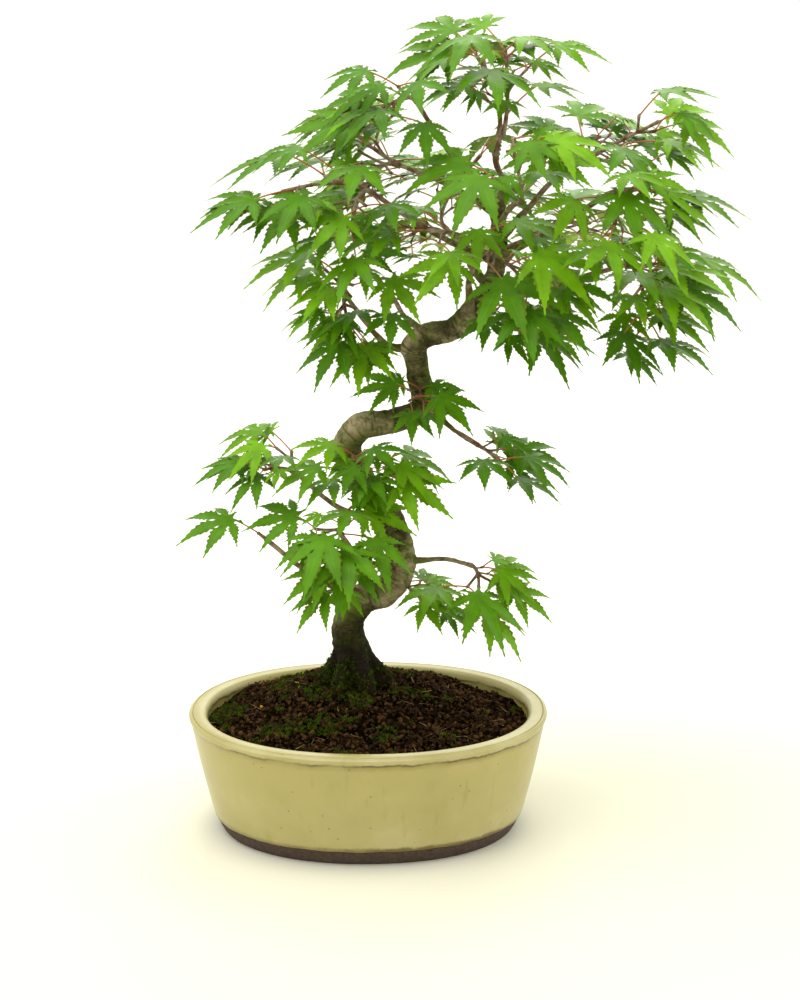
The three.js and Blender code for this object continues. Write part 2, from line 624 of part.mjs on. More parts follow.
// A twig or stem that swells towards the bud at its end, in which the feet of its stalks are buried.
function budded(points, end, radius) {
  const ahead = new THREE.Vector3().subVectors(end, points.at(-1)).normalize();
  const path = [...points, end, end.clone().addScaledVector(ahead, BUD_LENGTH)];
  const radii = [...points.map(() => radius), BUD_RADIUS + Math.max(radius - STEM_RADIUS, 0), BUD_TIP];
  return solidOf(sweep(path, (i) => radii[i], TWIG_SIDES));
}

function stemSolid(stem, grow) {
  return budded(stem.getPoints(STEM_RINGS).slice(0, -1), stem.v2, STEM_RADIUS + grow);
}

// The rule for one mass: pairs of twigs leave its stem at the forks, each twig ends in a pair of leaves,
// and the stem ends in a tuft of them.
function growMass(mass) {
  const { stem, seed } = mass;
  const leaves = [];
  const twigs = [];
  for (const [i, part] of forksOf(mass).entries()) {
    const root = stem.getPoint(part);
    const along = stem.getTangent(part);
    for (const side of [-1, 1]) {
      const keys = [seed, i + 1, side + 2];
      const way = strayFrom(TWIG_WAY, keys);
      const level = new THREE.Vector3().crossVectors(UP, along).normalize();
      level.applyAxisAngle(along, (TWIG_ROLL[i % 2] + way.roll) * DEGREE);
      const direction = along.clone().multiplyScalar(Math.cos(TWIG_FAN * DEGREE));
      direction.addScaledVector(level, side * Math.sin(TWIG_FAN * DEGREE)).addScaledVector(UP, way.rise);
      const end = root.clone().addScaledVector(direction.normalize(), TWIG_LENGTH * mass.leaf * way.size);
      const rooms = [twigRoom(root, end), knob(end)];
      if (!inReach(mass, end) || !rooms.every(isFree)) continue;
      remember(budded([root], end, TWIG_RADIUS + CLEARANCE));
      remember(knob(end));
      const before = leaves.length;
      for (const hand of [-1, 1]) growLeaf(mass, end, direction, hand, [...keys, hand + 2], leaves);
      if (leaves.length > before) twigs.push({ root, end });
    }
  }
  const tuft = TUFTS[mass.tuft];
  for (const side of tuft) growLeaf(mass, stem.v2, stem.getTangent(1), side, [seed, 0, side + 2], leaves);
  return { twigs, leaves };
}

function massSolid(mass) {
  const { twigs, leaves } = growMass(mass);
  let solid = stemSolid(mass.stem, 0);
  for (const { root, end } of twigs) solid = solid.add(budded([root], end, TWIG_RADIUS));
  for (const leaf of leaves) solid = solid.add(leafSolid(leaf));
  return solid;
}

// The largest of a solid's bodies, so that a loose scrap is dropped.
function wholeOf(solid) {
  return solid.decompose().reduce((best, body) => (body.volume() > best.volume() ? body : best));
}

const plant = new THREE.Group();

function addNode(name, solid, { color, roughness }) {
  const material = new THREE.MeshStandardMaterial({ color, roughness, metalness: 0 });
  const mesh = new THREE.Mesh(geometryOf(solid), material);
  mesh.name = name;
  plant.add(mesh);
}

const GLAZE = { color: 0xc9bd7e, roughness: 0.3 };
const EARTH = { color: 0x2b1f16, roughness: 0.95 };
const BARK = { color: 0x7d6f52, roughness: 0.85 };
const TWIG_BARK = { color: 0x6b4a3a, roughness: 0.75 };
const FOLIAGE = { color: 0x3f8f1e, roughness: 0.6 };

addNode("pot", potSolid(), GLAZE);
addNode("soil", soilSolid(), EARTH);
addNode("trunk", trunkSolid(0), BARK);

const trunkRoom = trunkSolid(CLEARANCE);
const boughRoom = new Map();
for (const { name } of BOUGHS) {
  const rings = boughRoutes.get(name);
  let solid = boughSolid(rings, 0).subtract(trunkRoom);
  for (const room of boughRoom.values()) solid = solid.subtract(room);
  boughRoom.set(name, boughSolid(rings, CLEARANCE));
  addNode(name, wholeOf(solid), TWIG_BARK);
}

remember(trunkSolid(LIMB_MARGIN));
for (const rings of boughRoutes.values()) remember(boughSolid(rings, LIMB_MARGIN));
for (const mass of masses) {
  mass.stem = stemOf(mass);
  remember(stemSolid(mass.stem, CLEARANCE));
  for (const part of [...forksOf(mass), 1]) remember(knob(mass.stem.getPoint(part)));
}

const stemRoom = new Map();
for (const mass of masses) {
  let solid = massSolid(mass).subtract(trunkRoom);
  for (const room of [boughRoom.get(mass.from), stemRoom.get(mass.from)]) {
    if (room) solid = solid.subtract(room);
  }
  stemRoom.set(mass.from, stemSolid(mass.stem, CLEARANCE));
  addNode(`leaves_${mass.name}`, wholeOf(solid), FOLIAGE);
}

export default plant;
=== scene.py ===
import json
import math
from itertools import combinations

import bmesh
import bpy
import numpy as np
from mathutils import Matrix, Vector, noise
from mathutils.bvhtree import BVHTree

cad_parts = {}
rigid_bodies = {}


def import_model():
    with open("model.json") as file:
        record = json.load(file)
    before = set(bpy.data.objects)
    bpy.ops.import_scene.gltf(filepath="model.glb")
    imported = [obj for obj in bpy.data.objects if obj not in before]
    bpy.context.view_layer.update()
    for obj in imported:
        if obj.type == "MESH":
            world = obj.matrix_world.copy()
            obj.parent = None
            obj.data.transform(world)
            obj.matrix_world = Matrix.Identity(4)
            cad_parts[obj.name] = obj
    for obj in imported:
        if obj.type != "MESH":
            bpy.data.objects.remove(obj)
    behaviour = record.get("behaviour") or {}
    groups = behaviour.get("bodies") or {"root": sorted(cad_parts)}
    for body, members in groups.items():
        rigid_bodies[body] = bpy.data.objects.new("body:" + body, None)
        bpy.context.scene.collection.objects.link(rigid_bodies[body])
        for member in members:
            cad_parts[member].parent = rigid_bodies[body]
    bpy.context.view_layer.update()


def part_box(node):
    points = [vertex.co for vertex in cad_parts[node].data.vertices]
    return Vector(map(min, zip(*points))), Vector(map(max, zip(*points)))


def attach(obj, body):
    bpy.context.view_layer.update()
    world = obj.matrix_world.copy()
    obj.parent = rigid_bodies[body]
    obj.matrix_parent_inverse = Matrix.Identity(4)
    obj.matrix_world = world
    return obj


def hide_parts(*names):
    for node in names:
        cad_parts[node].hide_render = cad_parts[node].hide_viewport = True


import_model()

MM = 0.001

# The pot: an oval stoneware bonsai pot, pressed in a mould and fired with a cream-yellow ash glaze.
# The glaze stops in a soft wavy edge above the foot, which is left bare. Its sizes come from the frame.
POT_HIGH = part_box("pot")[1] / MM
POT_HEIGHT = POT_HIGH.z
RIM = POT_HIGH.x
SIDE_DIFFERENCE = POT_HIGH.x - POT_HIGH.y
OVAL_CORE = 60
POT_SQUARENESS = 2.12
FOOT = RIM - 19
INNER_TOP = RIM - 11
FOOT_BAND = 11.5
BAND_TOP = FOOT + 4.4
INNER_FOOT = BAND_TOP - 5
INNER_SLOPE = 4.5
LIP_HEIGHT = 3.6
LIP_STEP = 0.8
BODY_TOP = RIM - LIP_STEP
FLOOR_THICKNESS = 8
POT_TURNS = 176
POT_STEPS = 5
GLAZE_WAVE = 0.9
POT_WOBBLE = 0.25
UP = Vector((0, 0, 1))
FRONT = Vector((0, -1, 0))


def catmull(points, t):
    """The point at t from 0 to 1 on a smooth curve through the points."""
    last = len(points) - 1
    span = min(int(last * t), last - 1)
    weight = last * t - span
    p1, p2 = points[span], points[span + 1]
    p0 = points[span - 1] if span else p1 * 2 - points[1]
    p3 = points[span + 2] if span + 2 <= last else p2 * 2 - p1
    t0, t1 = (p2 - p0) * 0.5, (p3 - p1) * 0.5
    cubic = p1 * 2 - p2 * 2 + t0 + t1
    square = p2 * 3 - p1 * 3 - t0 * 2 - t1
    return ((cubic * weight + square) * weight + t0) * weight + p1


def smooth_run(stops, steps):
    """A run of a profile through its stops, with steps points to each span."""
    points = [Vector((r, z, 0)) for r, z in stops]
    count = (len(points) - 1) * steps
    return [catmull(points, i / count).to_2d() for i in range(count + 1)]


def half_depth(half_length):
    """Half the depth that goes with half a length, less by a fixed difference outside the oval's core."""
    core = (OVAL_CORE - SIDE_DIFFERENCE) / OVAL_CORE
    return half_length - SIDE_DIFFERENCE if half_length > OVAL_CORE else half_length * core


def oval_point(half_length, angle):
    """A point on an oval a little squarer than an ellipse."""
    bend = lambda v: math.copysign(abs(v) ** (2 / POT_SQUARENESS), v)
    return half_length * bend(math.cos(angle)), half_depth(half_length) * bend(math.sin(angle))


def lathe(profile, turns, place):
    """A closed body: the profile's first and last points are poles, and each other point is a ring."""
    points = [place(profile[0], 0.0)]
    for spot in profile[1:-1]:
        points += [place(spot, 2 * math.pi * k / turns) for k in range(turns)]
    points.append(place(profile[-1], 0.0))
    faces = [(0, 1 + (k + 1) % turns, 1 + k) for k in range(turns)]
    for ring in range(len(profile) - 3):
        low, high = 1 + ring * turns, 1 + (ring + 1) * turns
        for k in range(turns):
            after = (k + 1) % turns
            faces.append((low + k, low + after, high + after, high + k))
    top = 1 + (len(profile) - 3) * turns
    faces += [(top + k, top + (k + 1) % turns, len(points) - 1) for k in range(turns)]
    return points, faces


def new_mesh(name, points, faces):
    """A mesh of points and faces."""
    mesh = bpy.data.meshes.new(name)
    mesh.from_pydata(points, [], faces)
    return mesh


def shown(name, data):
    """An object of a mesh, lamp or camera, put into the scene."""
    made = bpy.data.objects.new(name, data)
    bpy.context.scene.collection.objects.link(made)
    return made


def make_piece(name, points, faces, materials, slot_of=None):
    """A smooth mesh object from points in millimetres, with its place in its mesh."""
    mesh = new_mesh(name, [Vector(point) * MM for point in points], faces)
    for material in materials:
        mesh.materials.append(material)
    if slot_of:
        mesh.polygons.foreach_set("material_index", [slot_of(i) for i in range(len(faces))])
    mesh.polygons.foreach_set("use_smooth", [True] * len(faces))
    mesh.update()
    return shown(name, mesh)


def linear(code):
    """An sRGB hex colour as linear values."""
    parts = [int(code[i : i + 2], 16) / 255 for i in (0, 2, 4)]
    return [c / 12.92 if c <= 0.04045 else ((c + 0.055) / 1.055) ** 2.4 for c in parts] + [1.0]


def node(tree, kind, sockets=None, stops=(), **settings):
    """Adds a node with its settings. Each socket gets a value, an output, or the first output of a node that
    is in use, and stops of a place and a colour fill a ramp."""
    made = tree.nodes.new(kind)
    for key, value in settings.items():
        setattr(made, key, value)
    for key, value in (sockets or {}).items():
        if isinstance(value, bpy.types.Node):
            value = next(socket for socket in value.outputs if socket.enabled)
        if isinstance(value, bpy.types.NodeSocket):
            tree.links.new(value, made.inputs[key])
        else:
            made.inputs[key].default_value = value
    for i, (place, colour) in enumerate(stops):
        stop = made.color_ramp.elements[i] if i < 2 else made.color_ramp.elements.new(place)
        stop.position, stop.color = place, linear(colour)
    return made


def new_material(name):
    """An empty material, its tree and the piece's own coordinates in metres."""
    material = bpy.data.materials.new(name)
    material.use_nodes = True
    tree = material.node_tree
    tree.nodes.clear()
    return material, tree, node(tree, "ShaderNodeTexCoord").outputs["Object"]


def finish_material(tree, sockets):
    """Gives a material's tree its shader and output."""
    shader = node(tree, "ShaderNodeBsdfPrincipled", sockets)
    node(tree, "ShaderNodeOutputMaterial", {"Surface": shader})


def ash_glaze():
    """Ash glaze on stoneware: glossy, clouded where it ran thick, with pinholes, faint brown streaks, a
    darker band just above the bare foot, and painted shade in the crease under the lip.
    """
    material, tree, place = new_material("ash_glaze")
    cloud = node(tree, "ShaderNodeTexNoise", {"Vector": place, "Scale": 38, "Detail": 4})
    run = node(tree, "ShaderNodeMapping", {"Vector": place, "Scale": (1, 1, 0.18)})
    streak = node(tree, "ShaderNodeTexNoise", {"Vector": run, "Scale": 170, "Detail": 3})
    hole = node(tree, "ShaderNodeTexVoronoi", {"Vector": place, "Scale": 130, "Randomness": 1})
    height = node(tree, "ShaderNodeSeparateXYZ", {"Vector": place}).outputs["Z"]
    body = node(tree, "ShaderNodeValToRGB", {"Fac": cloud},
        [(0.32, "ABA064"), (0.5, "B1A76D"), (0.68, "B9AF7A")])
    brown = node(tree, "ShaderNodeMapRange", {
        "Value": streak, "From Min": 0.62, "From Max": 0.8, "To Max": 0.3})
    streaked = node(tree, "ShaderNodeMix", {
        "Factor": brown, "A": body, "B": linear("8E7A3C")}, data_type="RGBA")
    ripple = node(tree, "ShaderNodeTexNoise", {"Vector": place, "Scale": 70, "Detail": 6, "Roughness": 0.7})
    runny = node(tree, "ShaderNodeMapRange", {"Value": ripple, "To Min": -0.0028, "To Max": 0.0028})
    level = node(tree, "ShaderNodeMath", {0: height, 1: runny}, operation="ADD")
    risen = node(tree, "ShaderNodeMapRange", {"Value": level, "From Min": 0, "From Max": POT_HEIGHT * MM})
    # The ramp darkens a band just above the bare foot, and from 0.88 up it is painted shade that darkens the
    # crease under the lip.
    thick = node(tree, "ShaderNodeValToRGB", {"Fac": risen},
        [(0.0, "6E6440"), (0.155, "9A8C58"), (0.178, "FFFFFF"), (0.88, "F4F0D8"), (0.92, "D8CEA4"),
         (0.937, "625530"), (0.952, "FFFFFF"), (1.0, "FFFFFF")])
    # A cloud noise sets how strongly the ramp's dark bands show, the painted shade under the lip among them.
    band_strength = node(tree, "ShaderNodeMapRange", {
        "Value": cloud, "From Min": 0.42, "From Max": 0.58, "To Min": 0.4, "To Max": 0.95})
    shaded = node(tree, "ShaderNodeMix", {
        "Factor": band_strength, "A": streaked, "B": thick}, data_type="RGBA", blend_type="MULTIPLY")
    pit = node(tree, "ShaderNodeMapRange", {"Value": hole, "From Min": 0.035, "From Max": 0.08})
    colour = node(tree, "ShaderNodeMix", {
        "Factor": pit, "A": linear("6B5A32"), "B": shaded}, data_type="RGBA")
    peel = node(tree, "ShaderNodeTexNoise", {"Vector": place, "Scale": 300, "Detail": 2})
    dents = node(tree, "ShaderNodeBump", {"Height": pit, "Strength": 0.35, "Distance": 0.0004})
    relief = node(tree, "ShaderNodeBump", {
        "Height": peel, "Strength": 0.12, "Distance": 0.0004, "Normal": dents})
    finish_material(tree, {"Base Color": colour, "Roughness": 0.3, "IOR": 1.5, "Normal": relief})
    return material


def bare_stoneware():
    """Unglazed dark stoneware: matt, grainy, with paler grog in it."""
    material, tree, place = new_material("bare_stoneware")
    grain = node(tree, "ShaderNodeTexNoise", {"Vector": place, "Scale": 420, "Detail": 5})
    colour = node(tree, "ShaderNodeValToRGB", {"Fac": grain},
        [(0.3, "3A2B22"), (0.5, "46362D"), (0.75, "54423A")])
    relief = node(tree, "ShaderNodeBump", {"Height": grain, "Strength": 0.5, "Distance": 0.0005})
    finish_material(tree, {"Base Color": colour, "Roughness": 0.85, "Normal": relief})
    return material


foot_run = smooth_run([(FOOT - 1.5, 0), (FOOT, 1.5), (FOOT + 2.2, FOOT_BAND / 2), (BAND_TOP, FOOT_BAND)], 3)
wall_run = smooth_run([(BAND_TOP, FOOT_BAND), (BAND_TOP + 0.9, FOOT_BAND + 1),
                       ((BAND_TOP + BODY_TOP) / 2 + 1.3, (FOOT_BAND + POT_HEIGHT) / 2),
                       (BODY_TOP - 0.4, POT_HEIGHT - LIP_HEIGHT - 1.6)], POT_STEPS)
lip_run = smooth_run([(RIM - 0.5, POT_HEIGHT - LIP_HEIGHT), (RIM, POT_HEIGHT - LIP_HEIGHT / 2),
                      (RIM - 0.5, POT_HEIGHT - 1.1), (RIM - 1.9, POT_HEIGHT - 0.2),
                      (RIM - 2.5, POT_HEIGHT - 0.9), (RIM - 3.1, POT_HEIGHT - 0.1),
                      (RIM - 6.5, POT_HEIGHT + 0.2),
                      (INNER_TOP + 1.6, POT_HEIGHT - 0.2), (INNER_TOP, POT_HEIGHT - 1.8)], 4)
inner_run = smooth_run([(INNER_TOP - 0.6, POT_HEIGHT - 5), (INNER_FOOT + INNER_SLOPE, POT_HEIGHT / 3),
                        (INNER_FOOT, FLOOR_THICKNESS + 3), (INNER_FOOT - 4, FLOOR_THICKNESS)], 3)
pot_profile = [Vector((0, 0)), *foot_run, *wall_run[1:], *lip_run, *inner_run, Vector((0, FLOOR_THICKNESS))]


def pot_place(spot, angle):
    """A pot point: the hand-made wall wanders a little, and the glaze's edge waves."""
    around = Vector((math.cos(angle), math.sin(angle), 0))
    wander = POT_WOBBLE * noise.noise(around * 2.2 + Vector((0, 0, spot.y * 0.03))) if spot.y > 0 else 0
    wave = GLAZE_WAVE * noise.noise(around * 9) * math.exp(-(((spot.y - FOOT_BAND) / 2) ** 2))
    x, y = oval_point(max(spot.x + wander - 0.2, 0), angle)
    return Vector((x, y, spot.y + wave))


pot_points, pot_faces = lathe(pot_profile, POT_TURNS, pot_place)
bare_faces = POT_TURNS * len(foot_run)
pot = make_piece("pot_glazed", pot_points, pot_faces, [ash_glaze(), bare_stoneware()],
                 slot_of=lambda i: int(i < bare_faces))
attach(pot, "root")
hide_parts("pot")

# The soil: baked clay and bark granules, mounded up to the trunk's foot, with moss where it stays damp,
# and a few dry leaf scraps and needles lying on it. The granules, moss and scraps are strewn by one rule.
FOOT_X, FOOT_Y = -7, 22
SOIL_TOP = POT_HEIGHT - 7
MOUND_TOP = 81.7
MOUND_FLAT = 28
MOUND_SPREAD = 32
SOIL_WAVES = ((0.105, 0.04, 1, 1.2), (-0.06, 0.12, 2.5, 0.9), (0.13, 0.11, 0, 0.5))
SOIL_GRAINS = ((9, 0.3, 0.9), (5, 0.9, 0.7))
GRIT_DEPTH = 0.6
SOIL_GAP = 0.6
SOIL_DIP = 4
TRUNK_ROOM = 13
MOSS_SHOOTS, MOSS_TURN = 9, 2.4
SOIL_RINGS = 64
SOIL_TURNS = 180
SOIL_BOTTOM = FLOOR_THICKNESS + 0.3
WALL_LOW, WALL_HIGH = POT_HEIGHT / 3, POT_HEIGHT - 1.8


def soil_height(x, y):
    """Height of the mound under its grit: broad waves away from the trunk, and a coarse grain all over."""
    away = max(math.hypot(x - FOOT_X, y - FOOT_Y) - MOUND_FLAT, 0)
    lump = sum(high * math.sin(x * across + y * back + phase) for across, back, phase, high in SOIL_WAVES)
    grain = sum(high * noise.noise(Vector((x, y, slice_at)) * close) for slice_at, close, high in SOIL_GRAINS)
    rise = (MOUND_TOP - SOIL_TOP) * math.exp(-((away / MOUND_SPREAD) ** 2))
    return SOIL_TOP + rise - GRIT_DEPTH + lump * min(away / MOUND_FLAT, 1) + grain


def soil_wall(z):
    """Half the soil's length at a height, just clear of the pot's inner wall."""
    part = (z - WALL_LOW) / (WALL_HIGH - WALL_LOW)
    return INNER_FOOT + INNER_SLOPE + part * (INNER_TOP - INNER_FOOT - INNER_SLOPE) - SOIL_GAP


soil_edge = soil_wall(SOIL_TOP)
soil_profile = [Vector((0, SOIL_BOTTOM)), Vector((INNER_FOOT - 4 - SOIL_GAP, SOIL_BOTTOM)),
                Vector((INNER_FOOT - SOIL_GAP, SOIL_BOTTOM + 3)), Vector((soil_wall(WALL_LOW), WALL_LOW))]
soil_profile += [Vector((soil_edge * (1 - ring / SOIL_RINGS), SOIL_TOP)) for ring in range(SOIL_RINGS + 1)]


def soil_place(spot, angle):
    """A soil point: below the top it follows the pot, and the top's rings draw in to the trunk's foot."""
    if spot.y < SOIL_TOP:
        return Vector((*oval_point(spot.x, angle), spot.y))
    rim_x, rim_y = oval_point(soil_edge, angle)
    part = spot.x / soil_edge
    x, y = FOOT_X + (rim_x - FOOT_X) * part, FOOT_Y + (rim_y - FOOT_Y) * part
    return Vector((x, y, soil_height(x, y)))


def damp_soil():
    """Potting soil: rough clods, brown on top, with painted shade that turns their sunken places nearly
    black.
    """
    material, tree, place = new_material("damp_soil")
    clod = node(tree, "ShaderNodeTexNoise", {"Vector": place, "Scale": 210, "Detail": 6, "Roughness": 0.65})
    # Painted shade: the noise that sinks the clods by its bump also turns the sunken places nearly black.
    colour = node(tree, "ShaderNodeValToRGB", {"Fac": clod},
        [(0.4, "050301"), (0.55, "1C140A"), (0.72, "42301A")])
    relief = node(tree, "ShaderNodeBump", {"Height": clod, "Strength": 1, "Distance": 0.004})
    finish_material(tree, {"Base Color": colour, "Roughness": 1, "Specular IOR Level": 0, "Normal": relief})
    return material


def plain_material(name, code, roughness, spread=0.25):
    """A matt natural stuff of one colour, which varies a little over a few millimetres."""
    material, tree, place = new_material(name)
    tint = node(tree, "ShaderNodeTexNoise", {"Vector": place, "Scale": 260, "Detail": 2})
    span = node(tree, "ShaderNodeMapRange", {
        "Value": tint, "From Min": 0.3, "From Max": 0.7, "To Min": 1 - spread, "To Max": 1 + spread})
    colour = node(tree, "ShaderNodeVectorMath", {0: linear(code)[:3], "Scale": span}, operation="SCALE")
    finish_material(tree, {"Base Color": colour, "Roughness": roughness, "Specular IOR Level": 0.1})
    return material


def new_tree(name, inputs, output):
    """A tree of geometry nodes with named inputs and one output, and what it is given."""
    tree = bpy.data.node_groups.new(name, "GeometryNodeTree")
    for label, kind in inputs.items():
        tree.interface.new_socket(label, in_out="INPUT", socket_type="NodeSocket" + kind)
    tree.interface.new_socket(output, in_out="OUTPUT", socket_type="NodeSocketGeometry")
    return tree, node(tree, "NodeGroupInput").outputs


def strew_tree():
    """Strews turned and scaled copies of a small piece over a ground, thicker where its share is high."""
    tree, given = new_tree("strew", {
        "Ground": "Geometry", "Piece": "Object", "Density": "Float", "Apart": "Float", "Smallest": "Float",
        "Largest": "Float", "Tilt": "Float", "Seed": "Int", "Material": "Material"}, "Strewn")
    share = node(tree, "GeometryNodeInputNamedAttribute", {"Name": "share"}, data_type="FLOAT")
    spots = node(tree, "GeometryNodeDistributePointsOnFaces", {
        "Mesh": given["Ground"], "Distance Min": given["Apart"], "Density Max": given["Density"],
        "Density Factor": share, "Seed": given["Seed"]}, distribute_method="POISSON")
    lean = node(tree, "FunctionNodeRandomValue", {
        0: (-1, -1, -math.pi), 1: (1, 1, math.pi), "Seed": given["Seed"]}, data_type="FLOAT_VECTOR")
    tilt = node(tree, "ShaderNodeCombineXYZ", {0: given["Tilt"], 1: given["Tilt"], 2: 1.0})
    turn = node(tree, "ShaderNodeVectorMath", {0: lean, 1: tilt}, operation="MULTIPLY")
    size = node(tree, "FunctionNodeRandomValue", {
        2: given["Smallest"], 3: given["Largest"], "Seed": given["Seed"]}, data_type="FLOAT")
    piece = node(tree, "GeometryNodeObjectInfo", {"Object": given["Piece"]})
    copies = node(tree, "GeometryNodeInstanceOnPoints", {
        "Points": spots, "Instance": piece.outputs["Geometry"], "Rotation": turn, "Scale": size})
    real = node(tree, "GeometryNodeRealizeInstances", {"Geometry": copies})
    painted = node(tree, "GeometryNodeSetMaterial", {"Geometry": real, "Material": given["Material"]})
    node(tree, "NodeGroupOutput", {0: painted})
    return tree


def grown_mesh(source, tree, values):
    """The plain mesh that a node tree makes of a source object, which stays as it was."""
    modifier = source.modifiers.new(tree.name, "NODES")
    modifier.node_group = tree
    for item in tree.interface.items_tree:
        if item.in_out == "INPUT" and item.name in values:
            modifier[item.identifier] = values[item.name]
    depsgraph = bpy.context.evaluated_depsgraph_get()
    mesh = bpy.data.meshes.new_from_object(source.evaluated_get(depsgraph))
    source.modifiers.remove(modifier)
    return mesh


def mark(mesh, name, values, kind="FLOAT", on="POINT"):
    """Stores a value for each point or face of a mesh, over those that it had under that name."""
    layer = mesh.attributes.get(name) or mesh.attributes.new(name, kind, on)
    layer.data.foreach_set("vector" if kind == "FLOAT_VECTOR" else "value", values)


def inside_trunk(p):
    """Whether a place on the soil is under the trunk."""
    return math.hypot(p.x - FOOT_X - 1, p.y - FOOT_Y) < TRUNK_ROOM


def set_shares(ground, share_at):
    """Gives each point of the ground its share of what is strewn, and none off the soil's top."""
    points = [vertex.co / MM for vertex in ground.vertices]
    strewable = [p.z > SOIL_TOP - SOIL_DIP and not inside_trunk(p) for p in points]
    mark(ground, "share", [share_at(p) if here else 0.0 for p, here in zip(points, strewable)])


def strew_over(ground, name, piece, stuff, density, apart, smallest, largest, tilt, seed):
    """Strews a piece over a ground as one object on the root body, and drops the piece itself."""
    strewn = shown(name, grown_mesh(ground, strew, {
        "Piece": piece, "Density": density, "Apart": apart * MM, "Seed": seed, "Smallest": smallest * MM,
        "Largest": largest * MM, "Tilt": tilt, "Material": stuff}))
    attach(strewn, "root")
    bpy.data.objects.remove(piece)


def crumb_piece():
    """One granule: a ball of 20 faces knocked out of round, one across."""
    ball = bmesh.new()
    bmesh.ops.create_icosphere(ball, subdivisions=1, radius=0.5)
    for vertex in ball.verts:
        vertex.co *= 1 + 0.7 * noise.noise(vertex.co * 3 + Vector((4, 1, 7)))
        vertex.co = Vector((vertex.co.x * 1.2, vertex.co.y * 0.9, vertex.co.z * 0.7))
    mesh = bpy.data.meshes.new("crumb")
    ball.to_mesh(mesh)
    ball.free()
    return shown("crumb", mesh)


def blade(root, tip, width, points, faces):
    """A thin closed blade of four faces from a root to a tip, added to the lists."""
    ahead = (tip - root).normalized()
    aside = ahead.cross(UP if abs(ahead.z) < 0.9 else FRONT).normalized() * width / 2
    rise = ahead.cross(aside).normalized() * width / 5
    first = len(points)
    points += [root + aside, root - aside, root + rise, tip]
    faces += [(first + a, first + b, first + c) for a, b, c in ((0, 1, 3), (1, 2, 3), (2, 0, 3), (2, 1, 0))]


def moss_piece():
    """One tuft of moss: short leafy shoots that stand out all round, one high."""
    points, faces = [], []
    for shoot in range(MOSS_SHOOTS):
        turn = shoot * MOSS_TURN
        out = 0.25 + 0.6 * (shoot / MOSS_SHOOTS) ** 0.5
        spread = Vector((math.cos(turn), math.sin(turn), 0))
        blade(spread * out * 0.45, spread * out + UP * (1.1 - 0.55 * out), 0.36, points, faces)
    return shown("moss_tuft", new_mesh("moss_tuft", points, faces))


def needle_piece(width):
    """One straight needle or sprout, one long."""
    points, faces = [], []
    blade(Vector((-0.5, 0, 0.05)), Vector((0.5, 0.06, 0.07)), width, points, faces)
    return shown("needle", new_mesh("needle", points, faces))


soil_points, soil_faces = lathe(soil_profile, SOIL_TURNS, soil_place)
soil = make_piece("soil_mound", soil_points, soil_faces, [damp_soil()])
everywhere = lambda p: 1.0
strew = strew_tree()


def damp_places(p):
    """Moss keeps close to the trunk's foot, and thins out from the pot's left side to its right."""
    patch = noise.noise(Vector((p.x, p.y, 40)) * 0.05) + 0.5 * noise.noise(p * 0.2)
    near = math.hypot(p.x - FOOT_X + 5, p.y - FOOT_Y) < 22 + 8 * noise.noise(p * 0.15)
    return float(near or patch > 0.14 + 0.005 * max(p.x + 10, 0))


# A row strews one thing: its name, piece and material, how many for each square metre, the least distance,
# smallest and largest size in millimetres, tilt and seed, and what decides its share of a place.
STREWN = [
    ("soil_crumbs", crumb_piece(), plain_material("baked_clay_grit", "322010", 0.95, 0.7),
     90000, 1.5, 1.4, 3.8, 1.5, 3, everywhere),
    ("soil_grit", crumb_piece(), plain_material("russet_grit", "4C341C", 0.95, 0.7),
     40000, 2.5, 1.2, 4.4, 1.5, 8, everywhere),
    ("moss", moss_piece(), plain_material("living_moss", "44580C", 0.9, 0.7),
     260000, 1.0, 1.3, 2.7, 0.3, 5, damp_places),
    ("needles", needle_piece(0.05), plain_material("dry_needles", "80603A", 0.7, 0.5),
     3000, 4, 6, 17, 0.12, 12, everywhere),
    ("sprouts", needle_piece(0.12), plain_material("green_sprouts", "6E8A28", 0.7, 0.4),
     2400, 5, 4, 9, 1.2, 21, everywhere),
    ("leaf_scraps", crumb_piece(), plain_material("fallen_leaf", "A8741E", 0.8, 0.4),
     350, 8, 2.2, 4, 0.5, 15, everywhere),
]
for *row, share_at in STREWN:
    set_shares(soil.data, share_at)
    strew_over(soil, *row)
soil.data.attributes.remove(soil.data.attributes["share"])
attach(soil, "root")
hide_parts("soil")

# The trunk: one winding stem of Japanese maple, wired into its bends when it was young, that stands in the
# soil. Its bark is thin and grey-brown, wrinkled inside the bends and fissured where it flares into roots.
CLEARANCE = 0.3
ROOT_LEVEL = MOUND_TOP + CLEARANCE
ROOT_COUNT = 6
FLARE_HEIGHT = 15
FLARE_REACH = 1.05
RIDGES, RIDGE_TWIST, RIDGE_HEIGHT, RIDGE_STRAY = 3, 0.4, 0.035, 0.03
TRUNK_RING_GAP = 8
TRUNK_SIDES = 9
TRUNK_STOPS = [
    (-7, 22, 65, 12.5),
    (-9, 22, 87, 12),
    (-10, 22, 102, 11),
    (-12, 19, 122, 9.6),
    (-3, 11, 140, 9.4),
    (12, 5, 148, 9.3),
    (21, 7, 165, 8.5),
    (14, 17, 188, 8.2),
    (-3, 13, 213, 8.1),
    (-12, 1, 236, 8.8),
    (-4, -7, 252, 8.2),
    (15, -5, 255, 7.2),
    (33, 5, 261, 7.5),
    (30, 12, 283, 6.9),
    (31, 6, 301, 7.3),
    (55, 0, 311, 6.4),
    (71, 8, 328, 5.3),
    (77, 12, 351, 4.2),
    (77, 6, 381, 3.2),
]
BARK_GAP = 0.9
BARK_SIDES = 64
CREASE_GAP = 2.8
BARK_BURIED = 5
BARK_LUMPS = ((0.8, 0.09), (0.5, 0.28), (0.25, 0.9))
BEND_STEPS = 9
FISSURE_DEPTH, FISSURE_TOP = 1.5, 55
